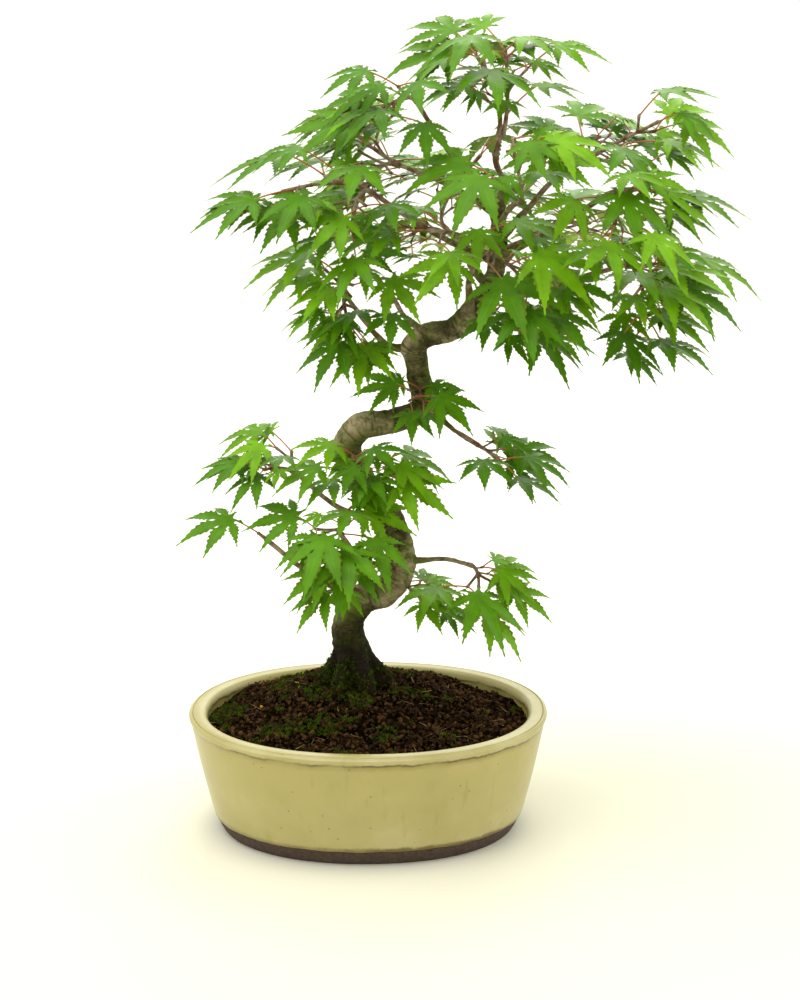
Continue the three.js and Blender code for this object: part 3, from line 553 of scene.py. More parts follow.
# Heights above the roots between which the bark turns darker towards its foot.
FOOT_DARK_TOP, FOOT_DARK_LOW = 60, 22
COLLAR_REACH, COLLAR_HEIGHT, COLLAR_WIDTH = 22, 0.75, 1.9


def route(stops, rings):
    """Rings of (point, radius) along a smooth curve through stops of (x, y, z, radius)."""
    points = [Vector(stop[:3]) for stop in stops]
    spans = len(stops) - 1
    made = []
    for i in range(rings + 1):
        along = spans * i / rings
        stop = min(int(along), spans - 1)
        radius = stops[stop][3] + (stops[stop + 1][3] - stops[stop][3]) * (along - stop)
        made.append((catmull(points, i / rings), radius))
    return made


def tangents(points):
    """The way ahead at each point, from the one before it to the one after."""
    last = len(points) - 1
    return [(points[min(i + 1, last)] - points[max(i - 1, 0)]).normalized() for i in range(last + 1)]


def sweep(points, radius_at, sides):
    """A closed limb through the points, with radius_at(ring, angle, outward) round it."""
    ahead = tangents(points)
    across = ahead[0].cross(UP if abs(ahead[0].z) < 0.9 else FRONT).normalized()
    corners = []
    for i, (point, tangent) in enumerate(zip(points, ahead)):
        across = (across - tangent * across.dot(tangent)).normalized()
        other = tangent.cross(across)
        for k in range(sides):
            angle = 2 * math.pi * k / sides
            outward = across * math.cos(angle) + other * math.sin(angle)
            corners.append(point + outward * radius_at(i, angle, outward))
    faces = []
    for i in range(len(points) - 1):
        for k in range(sides):
            a, b = i * sides + k, i * sides + (k + 1) % sides
            faces.append((a, b, b + sides, a + sides))
    faces.append(tuple(range(sides))[::-1])
    faces.append(tuple(range((len(points) - 1) * sides, len(points) * sides)))
    return corners, faces


def share(*keys):
    """A repeatable number from 0 to 1 for a set of whole-number keys."""
    mix = 2166136261
    for key in keys:
        mix = (mix ^ (key + 101)) * 16777619 & 0xFFFFFFFF
        mix = (mix ^ (mix >> 15)) * 2246822507 & 0xFFFFFFFF
        mix ^= mix >> 13
    return mix / 4294967296


def swing(*keys):
    """The same from -1 to 1."""
    return 2 * share(*keys) - 1


trunk_length = sum((Vector(b[:3]) - Vector(a[:3])).length for a, b in zip(TRUNK_STOPS, TRUNK_STOPS[1:]))
trunk_route = route(TRUNK_STOPS, int(trunk_length / TRUNK_RING_GAP + 0.5))


def root_flare(z, angle):
    """How far the roots stand out of the trunk at a height, as a share of its radius."""
    high = max(z - ROOT_LEVEL, 0) / FLARE_HEIGHT
    return max(math.exp(-high * high) * FLARE_REACH * (0.45 + 0.55 * math.cos(ROOT_COUNT * angle)), 0)


def plain_trunk(grow):
    """The trunk with few sides, as the solids have it, with that much room round it."""
    def radius_at(i, angle, outward):
        point, radius = trunk_route[i]
        ridge = RIDGE_HEIGHT * math.cos(RIDGES * angle + i * RIDGE_TWIST)
        ridge += RIDGE_STRAY * swing(i, int(angle * 10 + 0.5))
        return radius * (1 + root_flare(point.z, angle) + ridge) + grow
    return sweep([point for point, _ in trunk_route], radius_at, TRUNK_SIDES)


def trunk_point(at):
    """The point of the trunk's middle at a stop, which may lie between two."""
    along = at / (len(TRUNK_STOPS) - 1) * (len(trunk_route) - 1)
    ring = min(int(along), len(trunk_route) - 2)
    return trunk_route[ring][0].lerp(trunk_route[ring + 1][0], along - ring)


# A bough's row: its name, the stop of the trunk it leaves from, its tip, arch and radius at the trunk.
BOUGHS = [
    ("bough_low_left", 4, (-61, -8, 184), -0.06, 3.0),
    ("bough_left", 7, (-44, 4, 223), -0.12, 2.6),
    ("bough_front_low", 5.2, (-16, -27, 192), -0.1, 2.4),
    ("bough_right_low", 6, (63, -6, 166), 0.06, 2.0),
    ("bough_right_mid", 11.9, (66, -5, 240), 0.03, 2.2),
    ("bough_mid_left", 13.7, (-11, -9, 329), -0.2, 2.6),
    ("bough_inner_left", 14.3, (16, -16, 329), -0.08, 2.2),
    ("second_leader", 15.1, (63, -20, 353), 0.02, 4.2),
    ("bough_left_long", 16.9, (3, -18, 391), -0.05, 2.8),
    ("bough_left_upper", 17.8, (19, 30, 402), 0.04, 2.5),
    ("bough_upper_left", 17.95, (28, -12, 442), -0.06, 2.4),
    ("bough_top", 17.95, (78, 9, 421), 0.03, 2.6),
    ("bough_right_upper", 17.3, (130, 16, 407), 0.07, 2.6),
    ("bough_right_main", 17.0, (136, -26, 390), -0.04, 3.0),
    ("bough_right_under", 16.3, (150, -10, 348), -0.05, 2.7),
    ("bough_back_left", 16.2, (48, 62, 359), 0.05, 2.6),
    ("bough_back_right", 16.6, (116, 66, 363), 0.05, 2.7),
    ("bough_front", 17.5, (86, -46, 388), 0.08, 2.5),
]
BOUGH_TIP_RADIUS = 1.7
BOUGH_KINK = 0.07


def bough_stops(number, at, tip, arch, root):
    """A bough's stops: from inside the trunk to its tip, arched, with a kink to each side."""
    start = trunk_point(at)
    span = Vector(tip) - start
    side = span.cross(UP).normalized()
    made = []
    for i, part in enumerate((0, 0.3, 0.62, 1)):
        kink = BOUGH_KINK * span.length * (1 if i == 1 else -1) * swing(number, 7) if i % 3 else 0
        spot = start + span * part + side * kink + UP * arch * span.length * math.sin(math.pi * part)
        made.append((*spot, root + (BOUGH_TIP_RADIUS - root) * part**0.8))
    return made


bark_route = route(TRUNK_STOPS, round(trunk_length / BARK_GAP))
buried = [ring for ring in bark_route if ring[0].z > ROOT_LEVEL - BARK_BURIED]
bark_points = [point for point, _ in buried]
bark_ahead = tangents(bark_points)
bends = [bark_ahead[min(i + BEND_STEPS, len(buried) - 1)] - bark_ahead[max(i - BEND_STEPS, 0)]
         for i in range(len(buried))]
bough_feet = []
for i, (_, at, tip, arch, root) in enumerate(BOUGHS):
    second_stop = Vector(bough_stops(i, at, tip, arch, root)[1][:3])
    bough_feet.append((trunk_point(at), (second_stop - trunk_point(at)).normalized(), root))
bark_marks = []


def bark_radius(i, angle, outward):
    """Trunk radius with its relief: root flare, lumps, creases inside bends, fissures at the foot, collars.
    It also notes how far out on a bend the bark is, for a painted highlight, how deep its relief is, for
    painted shade, and how far along the trunk."""
    point, radius = buried[i]
    skin = point + outward * radius
    lump = sum(high * noise.noise(skin * close) for high, close in BARK_LUMPS)
    inside = bends[i].dot(outward)
    turns = i * BARK_GAP / CREASE_GAP + 1.6 * noise.noise(skin * 0.12) + 0.5 * noise.noise(skin * 0.5)
    crease = (1 - abs(math.sin(math.pi * turns))) ** 3 * (0.5 + noise.noise(skin * 0.33))
    wrinkle = -max(min(0.4 + inside * 2, 1.5), 0) * max(crease, 0)
    depth = max(1 - (point.z - ROOT_LEVEL) / FISSURE_TOP, 0)
    grain = Vector((skin.x * 0.42, skin.y * 0.42, skin.z * 0.05))
    fissure = -FISSURE_DEPTH * depth * max(1 - 5 * abs(noise.noise(grain)), 0) ** 2
    collar = 0
    for foot, way, size in bough_feet:
        off = skin - foot
        if off.length < COLLAR_REACH and off.dot(way) > 0:
            gap = (off - way * off.dot(way)).length
            collar = max(collar, COLLAR_HEIGHT * size * math.exp(-((gap / (size * COLLAR_WIDTH)) ** 2)))
    # Marks for the colour: how far out on a bend, for a painted highlight, and how deep the relief, for
    # painted shade.
    bark_marks.append((min(max(-inside * 1.3, 0), 1), min(max(-1.4 * wrinkle - fissure - 0.5 * lump, 0), 1),
                       i * BARK_GAP * MM))
    return radius * (1 + root_flare(point.z, angle)) + lump + wrinkle + fissure + collar


def maple_bark(name, young):
    """Maple bark: grey-brown with green algae, and pale patches that are painted highlight on the outside of
    bends. Painted shade darkens its creases, and it turns darker towards the foot. The old bark of the trunk
    is ringed by fine wrinkles, and young bark is smooth and turns red-brown towards the tips."""
    material, tree, place = new_material(name)
    patch = node(tree, "ShaderNodeTexNoise", {
        "Vector": place, "Scale": 110, "Detail": 8, "Roughness": 0.72, "Distortion": 0.6})
    bark = node(tree, "ShaderNodeValToRGB", {"Fac": patch},
        [(0.32, "2C2916"), (0.46, "4C482A"), (0.58, "6E6844"), (0.72, "9C9268")])
    algae = node(tree, "ShaderNodeTexNoise", {
        "Vector": place, "Scale": 52, "Detail": 6, "W": 3}, noise_dimensions="4D")
    green = node(tree, "ShaderNodeMapRange", {
        "Value": algae, "From Min": 0.46, "From Max": 0.58, "To Max": 0.85})
    mossy = node(tree, "ShaderNodeMix", {"Factor": green, "A": bark, "B": linear("56641E")}, data_type="RGBA")
    # Painted highlight: on the outside of bends, patches of the bark are paled towards B4A484.
    stretch = node(tree, "ShaderNodeAttribute", attribute_name="stretch").outputs["Fac"]
    flake = node(tree, "ShaderNodeMapRange", {"Value": patch, "From Min": 0.38, "From Max": 0.6})
    bare = node(tree, "ShaderNodeMath", {0: stretch, 1: flake}, operation="MULTIPLY")
    pale = node(tree, "ShaderNodeMix", {"Factor": bare, "A": mossy, "B": linear("B4A484")}, data_type="RGBA")
    # Painted shade: where the relief is deep, in creases, fissures and between lumps, the bark darkens
    # towards 2A2112.
    hollow = node(tree, "ShaderNodeAttribute", attribute_name="hollow").outputs["Fac"]
    creased = node(tree, "ShaderNodeMix", {
        "Factor": hollow, "A": pale, "B": linear("2A2112")}, data_type="RGBA")
    # The bark turns darker, towards 1A120A, low on the trunk near its foot, along a wavy edge.
    height = node(tree, "ShaderNodeSeparateXYZ", {"Vector": place}).outputs["Z"]
    edge = node(tree, "ShaderNodeMapRange", {"Value": algae, "To Min": -0.025, "To Max": 0.025})
    level = node(tree, "ShaderNodeMath", {0: height, 1: edge}, operation="ADD")
    foot_darkening = node(tree, "ShaderNodeMapRange", {
        "Value": level, "From Min": (ROOT_LEVEL + FOOT_DARK_TOP) * MM, "From Max": (ROOT_LEVEL + FOOT_DARK_LOW) * MM,
        "To Max": 0.94})
    darker_foot = node(tree, "ShaderNodeMix", {"Factor": foot_darkening, "A": creased, "B": linear("1A120A")}, data_type="RGBA")
    long_grain = node(tree, "ShaderNodeMapping", {"Vector": place, "Scale": (1, 1, 0.35)})
    grain = node(tree, "ShaderNodeTexNoise", {"Vector": long_grain, "Scale": 620, "Detail": 5})
    relief = node(tree, "ShaderNodeBump", {"Height": grain, "Strength": 0.9, "Distance": 0.0012})
    if young:
        skin = node(tree, "ShaderNodeValToRGB", {"Fac": patch},
            [(0.42, "6E4838"), (0.5, "887060"), (0.6, "A4947E")])
        age = node(tree, "ShaderNodeAttribute", attribute_name="young").outputs["Fac"]
        colour = node(tree, "ShaderNodeMix", {"Factor": age, "A": darker_foot, "B": skin}, data_type="RGBA")
    else:
        along = node(tree, "ShaderNodeAttribute", attribute_name="along").outputs["Fac"]
        around = node(tree, "ShaderNodeMapping", {"Vector": place, "Scale": (0.14, 0.14, 0.14)})
        rings = node(tree, "ShaderNodeTexNoise", {
            "Vector": around, "W": along, "Scale": 520, "Detail": 3}, noise_dimensions="4D")
        line = node(tree, "ShaderNodeMapRange", {
            "Value": rings, "From Min": 0.48, "From Max": 0.36, "To Max": 0.6})
        colour = node(tree, "ShaderNodeMix", {
            "Factor": line, "A": darker_foot, "B": linear("2C2814")}, data_type="RGBA")
        relief = node(tree, "ShaderNodeBump", {
            "Height": rings, "Strength": 0.8, "Distance": 0.0016, "Normal": relief})
    finish_material(tree, {
        "Base Color": colour, "Roughness": 0.85, "Specular IOR Level": 0.15, "Normal": relief})
    return material


trunk_corners, trunk_faces = sweep(bark_points, bark_radius, BARK_SIDES)
trunk = make_piece("trunk_bark", trunk_corners, trunk_faces, [maple_bark("old_maple_bark", young=False)])
for name, marks in zip(("stretch", "hollow", "along"), zip(*bark_marks)):
    mark(trunk.data, name, marks)

# A row is as for the soil, with how high up the trunk it reaches in place of what decides its share.
ON_FOOT = [
    ("moss_on_foot", moss_piece(), bpy.data.materials["living_moss"], 900000, 0.9, 1.2, 2.4, 0.9, 4, 24),
    ("grit_on_foot", crumb_piece(), bpy.data.materials["baked_clay_grit"], 400000, 1.1, 1.4, 3.2, 0.9, 4, 11),
]


def foot_shares(points, reach):
    """The share of what lies on the foot: it thins out upwards, and more of it lies on the left."""
    low = [max(1 - (p.z - ROOT_LEVEL) / reach, 0) * (1.3 if p.x < FOOT_X else 0.7) for p in points]
    return [part if noise.noise(p * 0.14) > 0.2 - 0.7 * part else 0 for p, part in zip(points, low)]


for *row, reach in ON_FOOT:
    mark(trunk.data, "share", foot_shares(trunk_corners, reach))
    strew_over(trunk, *row)
trunk.data.attributes.remove(trunk.data.attributes["share"])
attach(trunk, "root")
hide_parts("trunk")

# The boughs: side limbs of the same wood, each one tapering and kinked limb that starts inside the trunk with
# a swollen collar. Their bark turns from the trunk's grey-brown to red-brown towards the tips.
BOUGH_SIDES = 4
BOUGH_RINGS = 5
BOUGH_FINE_RINGS = 26
BOUGH_FINE_SIDES = 14
COLLAR_LENGTH, COLLAR_SWELL, COLLAR_START = 9, 0.5, 0.6
BOUGH_LUMPS = ((0.3, 0.35), (0.15, 1.1))
BOUGH_YOUTH = 0.9
BOUGH_SLIM = 0.75
KNOT_HEIGHT, KNOT_TURN = 0.35, 9.5


class Heap:
    """Points, faces and one number for each point, gathered from many limbs into one piece."""

    def __init__(self):
        self.points, self.faces, self.ages = [], [], []

    def add(self, points, faces, ages):
        """Puts one more limb on the heap."""
        first = len(self.points)
        self.points += points
        self.faces += [tuple(first + k for k in face) for face in faces]
        self.ages += ages

    def piece(self, name, material, layer):
        """All of it as one object, with the numbers under the layer's name."""
        made = make_piece(name, self.points, self.faces, [material])
        mark(made.data, layer, self.ages)
        return made


def bough_limb(number, row):
    """A bough's fine mesh, with how young its bark is at each point."""
    rings = route(bough_stops(number, *row[1:]), BOUGH_FINE_RINGS)
    reach = [0.0]
    for (a, _), (b, _) in zip(rings, rings[1:]):
        reach.append(reach[-1] + (b - a).length)

    def radius_at(i, angle, outward):
        point, radius = rings[i]
        start = reach[i] - trunk_route[0][1] * COLLAR_START
        collar = COLLAR_SWELL * math.exp(-((max(start, 0) / COLLAR_LENGTH) ** 2))
        skin = point + outward * radius
        knot = KNOT_HEIGHT * max(math.sin(reach[i] / KNOT_TURN + number), 0) ** 8
        lumps = sum(high * noise.noise(skin * close) for high, close in BOUGH_LUMPS)
        return radius * BOUGH_SLIM * (1 + collar) + lumps + knot

    corners, faces = sweep([point for point, _ in rings], radius_at, BOUGH_FINE_SIDES)
    ages = [min(part / reach[-1] * BOUGH_YOUTH, 1) for part in reach for _ in range(BOUGH_FINE_SIDES)]
    return corners, faces, ages


bough_heap = Heap()
for number, row in enumerate(BOUGHS):
    bough_heap.add(*bough_limb(number, row))
boughs = bough_heap.piece("boughs_bark", maple_bark("young_maple_bark", young=True), "young")
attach(boughs, "root")
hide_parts(*(row[0] for row in BOUGHS))

# The twigs and leaf stalks: each mass of foliage grows from one stem at a bough's tip or on the trunk, by the
# same rule as the solids. Side twigs leave it in pairs, each ends in a bud, and finer twigs fill in between.
# A row: name, where it grows from, its end, pairs of side twigs, leaves at its end, and leaf size.
MASSES = [
    ("low_left_outer", "bough_low_left", (-66, -14, 190), 1, 2, 0.8),
    ("low_left_under", 4.2, (-24, -12, 164), 1, 2, 0.8),
    ("left_upright", "bough_left", (-46, 10, 236), 1, 2, 0.75),
    ("left_outer", "bough_left", (-66, -4, 226), 1, 2, 0.75),
    ("front_low", "bough_front_low", (-14, -56, 200), 2, 3, 0.95),
    ("right_low", "bough_right_low", (68, -12, 150), 1, 1, 0.85),
    ("right_low_inner", 5.5, (36, 0, 140), 0, 3, 0.7),
    ("right_mid", "bough_right_mid", (80, -8, 232), 1, 2, 0.8),
    ("trunk_right", 12.4, (26, -22, 272), 0, 2, 0.8),
    ("bend_front", 9, (4, -40, 230), 1, 2, 0.85),
    ("mid_left_outer", "bough_mid_left", (-18, -28, 350), 2, 3, 0.95),
    ("mid_left_under", "bough_mid_left", (-10, -24, 312), 1, 2, 0.8),
    ("inner_left", "bough_inner_left", (14, -46, 338), 1, 3, 0.95),
    ("centre_left", "second_leader", (26, -66, 380), 2, 3, 1),
    ("centre_right", "second_leader", (98, -62, 340), 2, 3, 1),
    ("left_long_tip", "bough_left_long", (-62, -24, 392), 2, 1, 1),
    ("left_long_under", "bough_left_long", (-12, -50, 368), 1, 3, 0.9),
    ("left_upper", "bough_left_upper", (-12, 28, 424), 2, 3, 0.95),
    ("left_back", "bough_left_upper", (0, 78, 383), 2, 3, 1),
    ("upper_left", "bough_upper_left", (4, -20, 436), 2, 2, 0.9),
    ("apex", "bough_top", (60, 0, 478), 2, 2, 1),
    ("apex_right", "bough_top", (80, 6, 482), 1, 2, 0.9),
    ("right_upper", "bough_right_upper", (178, -12, 436), 2, 1, 1),
    ("right_upper_back", "bough_right_upper", (136, 58, 416), 1, 3, 1),
    ("right_outer", "bough_right_main", (172, -20, 392), 2, 1, 1),
    ("right_front", "bough_right_main", (138, -68, 374), 2, 3, 0.95),
    ("right_low_outer", "bough_right_under", (168, -22, 334), 2, 1, 1),
    ("right_low_under", "bough_right_under", (162, -6, 298), 1, 2, 0.9),
    ("right_inner", 15.4, (97, -12, 308), 0, 2, 0.9),
    ("back_left", "bough_back_left", (22, 108, 350), 1, 3, 1),
    ("back_right", "bough_back_right", (146, 112, 352), 2, 3, 1),
    ("back_top", "bough_back_left", (76, 84, 415), 1, 3, 1),
    ("front_top", "bough_front", (78, -70, 430), 2, 3, 1),
]
REACH = 76
SEED = 1268
LEAF_LENGTH = 56
LEAF_HUB_THICKNESS = 1.8
LEAF_TIP_DROP = 0.16
LEAF_FLAT = 0.22
STALK_LENGTH = 22
STALK_RADIUS = 0.65
STALK_JOIN = 0.1
STALK_TURN = 0.3
TWIG_LENGTH = 17
TWIG_RADIUS = 0.85
TWIG_THICK = 0.95
BUD_RADIUS = 2
BUD_LENGTH = 1.7
BUD_TIP = 0.3
TUFTS = {1: [0], 2: [-1, 1], 3: [-1, 0, 1]}
STEM_RADIUS = 1.05
STEM_SHARE = 0.78
STEM_BEND = 0.4
STEM_RINGS = 3
TWIG_SIDES = 3
TRIES = 22
LIMB_MARGIN = 1.5
LEAF_ROOM = 3.2
LEAF_SPREAD = 1.03
TWIG_ROOM = 1.5
FORK_ROOM = 4
FORK_END = 0.7
FORK_GUARD = 3.7
KNOB_EDGE = 2.1
TRY_SHRINK = 0.02
TWIG_FAN = math.radians(51)
TWIG_ROLL = (18, -35)
TWIG_WAY = {"roll": (0, 28), "rise": (0.1, 0.2), "size": (0.85, 0.35)}
LEAF_WAY = {"fan": (48, 16), "turn": (0, 12), "rise": (0.12, 0.32), "stalk": (0.85, 0.35),
            "face_out": (0.4, 0.22), "face_front": (0.45, 0.4), "face_aside": (0, 0.28),
            "droop": (-0.55, 0.35), "size": (0.88, 0.17)}
ALONG_STALK, ALONG_OUTWARD = 0.75, 0.7
LEAF_SPOTS = [(0, 1), (19, 0.37), (38, 0.87), (57, 0.34), (77, 0.6), (132, 0.21)]


def stray(table, keys):
    """A table of usual values and strays turned into values for one set of keys."""
    return {name: usual + by * swing(*keys, i) for i, (name, (usual, by)) in enumerate(table.items())}


def leaf_rim():
    """The leaf's rim from one side of its stalk to the other: shares of its length ahead, aside and down."""
    half = []
    for turn, out in LEAF_SPOTS:
        turn = math.radians(turn)
        half.append((out * math.cos(turn), out * math.sin(turn), LEAF_TIP_DROP * max(out - LEAF_FLAT, 0)))
    return [(ahead, -aside, drop) for ahead, aside, drop in half[:0:-1]] + half


RIM_SPOTS = leaf_rim()


def leaf_point(leaf, spot, size=1):
    """A place on a leaf, from shares of its length ahead, aside and down."""
    length = leaf["length"]
    return (leaf["hub"] + leaf["ahead"] * spot[0] * length * size + leaf["aside"] * spot[1] * length * size
            - leaf["normal"] * spot[2] * length)


def leaf_base(leaf):
    """Where the stalk runs into the blade."""
    return leaf_point(leaf, (-STALK_JOIN, 0, 0))


def fan_between(top, under, rim):
    """A closed fan of faces from two middle points to a rim."""
    faces = []
    for i in range(len(rim)):
        a, b = i + 2, (i + 1) % len(rim) + 2
        faces += [(0, a, b), (1, b, a)]
    return [top, under, *rim], faces


def blade_shape(leaf, thickness, size):
    """A leaf's blade as the solids have it: two shallow fans over its rim."""
    rim = [leaf_point(leaf, spot, size) for spot in (*RIM_SPOTS, (-STALK_JOIN, 0, 0))]
    rise = leaf["normal"] * thickness / 2
    return fan_between(leaf["hub"] + rise, leaf["hub"] - rise, rim)


def budded(points, end, radius):
    """A twig or stem that swells towards the bud at its end."""
    ahead = (end - points[-1]).normalized()
    path = [*points, end, end + ahead * BUD_LENGTH]
    radii = [radius] * len(points) + [BUD_RADIUS + max(radius - STEM_RADIUS, 0), BUD_TIP]
    return sweep(path, lambda i, *_: radii[i], TWIG_SIDES)


def rod(start, end, radius):
    """A straight stretch of twig or stalk."""
    return sweep([start, end], lambda *_: radius, TWIG_SIDES)


def twig_room(start, end):
    """The room that a twig or stalk needs, apart from that at its fork."""
    return rod(start + (end - start).normalized() * FORK_ROOM, end, TWIG_ROOM)


def knob(middle):
    """The room that a fork needs for the feet of what grows from it: a ball of 20 faces."""
    golden = (1 + 5**0.5) / 2
    ways = [Vector(way) for a in (-1, 1) for b in (-golden, golden)
            for way in ((a, b, 0), (0, a, b), (b, 0, a))]
    faces = [trio for trio in combinations(range(len(ways)), 3)
             if all((ways[a] - ways[b]).length < KNOB_EDGE for a, b in combinations(trio, 2))]
    return [middle + way.normalized() * FORK_GUARD for way in ways], faces


class Grown:
    """All that has grown, for keeping new twigs and leaves off it."""

    def __init__(self):
        self.trees, self.lows, self.highs = [], np.zeros((0, 3)), np.zeros((0, 3))

    def remember(self, shape):
        """Keeps a shape of points and faces, with its box."""
        corners = np.array(shape[0])
        self.trees.append(BVHTree.FromPolygons(*shape))
        self.lows = np.vstack([self.lows, corners.min(0)])
        self.highs = np.vstack([self.highs, corners.max(0)])

    def is_free(self, shape):
        """Whether a shape touches nothing that is kept: only those whose boxes meet it are looked at."""
        corners = np.array(shape[0])
        near = np.all((corners.min(0) <= self.highs) & (corners.max(0) >= self.lows), axis=1)
        tree = BVHTree.FromPolygons(*shape)
        return not any(tree.overlap(self.trees[i]) for i in np.flatnonzero(near))


def arc(start, bend, end, t):
    """The point at t from 0 to 1 on a curve that leans towards its bend."""
    return start * (1 - t) ** 2 + bend * 2 * t * (1 - t) + end * t * t


def stem_point(mass, t):
    """The point at t from 0 to 1 on a mass's stem."""
    return arc(*mass["stem"], t)


def stem_ahead(mass, t):
    """The way that a mass's stem goes there."""
    start, bend, end = mass["stem"]
    return ((bend - start) * (1 - t) + (end - bend) * t).normalized()


def start_of(mass, masses):
    """Where a mass's stem starts, which way it goes there, and the heart its leaves turn away from."""
    if not isinstance(mass["from"], str):
        start = trunk_point(mass["from"])
        return start, (mass["end"] - start).normalized(), start
    rings = bough_routes[mass["from"]]
    tip = rings[-1][0]
    ahead = (tip - rings[-2][0]).normalized()
    start = tip - ahead
    sisters = [other for other in masses if other["from"] == mass["from"]]
    if len(sisters) > 1:
        other = next(sister for sister in sisters if sister is not mass)
        apart = mass["end"] - other["end"]
        start += (apart - ahead * apart.dot(ahead)).normalized() * (STEM_RADIUS + CLEARANCE)
    return start, ahead, rings[0][0]


def in_reach(mass, point):
    """Whether a point is near enough to the line of the mass's stem."""
    start, line = mass["start"], mass["end"] - mass["start"]
    part = min(max((point - start).dot(line) / line.length_squared, 0), 1)
    return (point - start - line * part).length < REACH * mass["leaf"]


def leaf_try(mass, twig_end, along, side, keys, size):
    """One way for a leaf to grow: a stalk to one side, and a blade that leans out and down."""
    way = stray(LEAF_WAY, keys)
    sideways = UP.cross(along).normalized()
    turn = math.radians(side * way["fan"] + way["turn"])
    stalk = (along * math.cos(turn) + sideways * math.sin(turn) + UP * way["rise"]).normalized()
    hub = twig_end + stalk * STALK_LENGTH * mass["leaf"] * way["stalk"] * size
    outward = Vector((hub.x - mass["heart"].x, hub.y - mass["heart"].y, 0))
    outward /= max(outward.length, 1)
    normal = UP + outward * way["face_out"] + FRONT * way["face_front"] + sideways * way["face_aside"]
    normal.normalize()
    ahead = stalk * ALONG_STALK + outward * ALONG_OUTWARD + UP * way["droop"]
    ahead = (ahead - normal * ahead.dot(normal)).normalized()
    return {"hub": hub, "ahead": ahead, "aside": normal.cross(ahead), "normal": normal, "foot": twig_end,
            "length": LEAF_LENGTH * mass["leaf"] * way["size"] * size, "tone": share(*keys, 30),
            "mass": mass["seed"]}


def leaf_fits(mass, leaf, room):
    """Whether a leaf goes on from its stalk, stays in its mass's reach and touches nothing."""
    base = leaf_base(leaf)
    if (base - leaf["foot"]).normalized().dot(leaf["ahead"]) < STALK_TURN:
        return False
    if not all(in_reach(mass, leaf_point(leaf, spot)) for spot in RIM_SPOTS):
        return False
    shapes = blade_shape(leaf, room, LEAF_SPREAD), twig_room(leaf["foot"], base)
    return all(grown.is_free(shape) for shape in shapes)


def grow_leaf(mass, twig_end, along, side, keys, size=1.0, room=LEAF_ROOM):
    """Tries ways for a leaf until one fits, and keeps it."""
    for attempt in range(TRIES):
        leaf = leaf_try(mass, twig_end, along, side, (*keys, attempt), size)
        leaf["length"] *= 1 - TRY_SHRINK * attempt
        if leaf_fits(mass, leaf, room):
            grown.remember(blade_shape(leaf, LEAF_HUB_THICKNESS, 1))
            grown.remember(rod(leaf["foot"], leaf_base(leaf), STALK_RADIUS))
            leaves.append(leaf)
            return True
    return False


def side_twig(mass, part, side, keys, roll, size=1.0):
    """The way and end of a side twig that leaves the stem at a part of its length."""
    way = stray(TWIG_WAY, keys)
    along = stem_ahead(mass, part)
    level = UP.cross(along).normalized()
    level.rotate(Matrix.Rotation(math.radians(roll + way["roll"]), 3, along))
    direction = along * math.cos(TWIG_FAN) + level * side * math.sin(TWIG_FAN) + UP * way["rise"]
    direction.normalize()
    root = stem_point(mass, part)
    return root, root + direction * TWIG_LENGTH * mass["leaf"] * way["size"] * size, direction


def forks_of(mass):
    """Where side twigs leave the stem, as parts of its length."""
    return [(i + 1) / (mass["forks"] + FORK_END) for i in range(mass["forks"])]


def grow_mass(mass):
    """The rule of the solids: twigs in pairs at the forks, two leaves to a twig, and a tuft at the end."""
    for i, part in enumerate(forks_of(mass)):
        for side in (-1, 1):
            keys = (mass["seed"], i + 1, side + 2)
            root, end, direction = side_twig(mass, part, side, keys, TWIG_ROLL[i % 2])
            free = grown.is_free(twig_room(root, end)) and grown.is_free(knob(end))
            if not in_reach(mass, end) or not free:
                continue
            grown.remember(budded([root], end, TWIG_RADIUS + CLEARANCE))
            grown.remember(knob(end))
            if any([grow_leaf(mass, end, direction, hand, (*keys, hand + 2)) for hand in (-1, 1)]):
                twigs.append((root, end, TWIG_THICK))
    for side in TUFTS[mass["tuft"]]:
        grow_leaf(mass, mass["stem"][2], stem_ahead(mass, 1), side, (mass["seed"], 0, side + 2))


FINE_SPOTS = (0.3, 0.5, 0.68, 0.86)
FINE_SIZE, FINE_STRAY = 0.62, 0.22
FINE_ROOM = 1.6
FINE_KEY = 40
FINE_ROLL, FINE_ROLL_BY = 60, -40
FINE_THICK = 0.7


def grow_fine(mass):
    """Finer twigs between the forks, each with one or two smaller leaves, where there is still room."""
    for i, part in enumerate(FINE_SPOTS):
        for side in (-1, 1):
            keys = (mass["seed"], i + FINE_KEY, side + 2)
            root, end, direction = side_twig(mass, part, side, keys, FINE_ROLL + FINE_ROLL_BY * i, FINE_SIZE)
            if not in_reach(mass, end) or not grown.is_free(twig_room(root, end)):
                continue
            size = FINE_SIZE + FINE_STRAY * share(*keys, 8)
            made = [grow_leaf(mass, end, direction, hand, (*keys, hand + 2), size, FINE_ROOM)
                    for hand in (-1, 1)]
            if any(made):
                grown.remember(rod(root, end, TWIG_RADIUS))
                twigs.append((root, end, FINE_THICK))


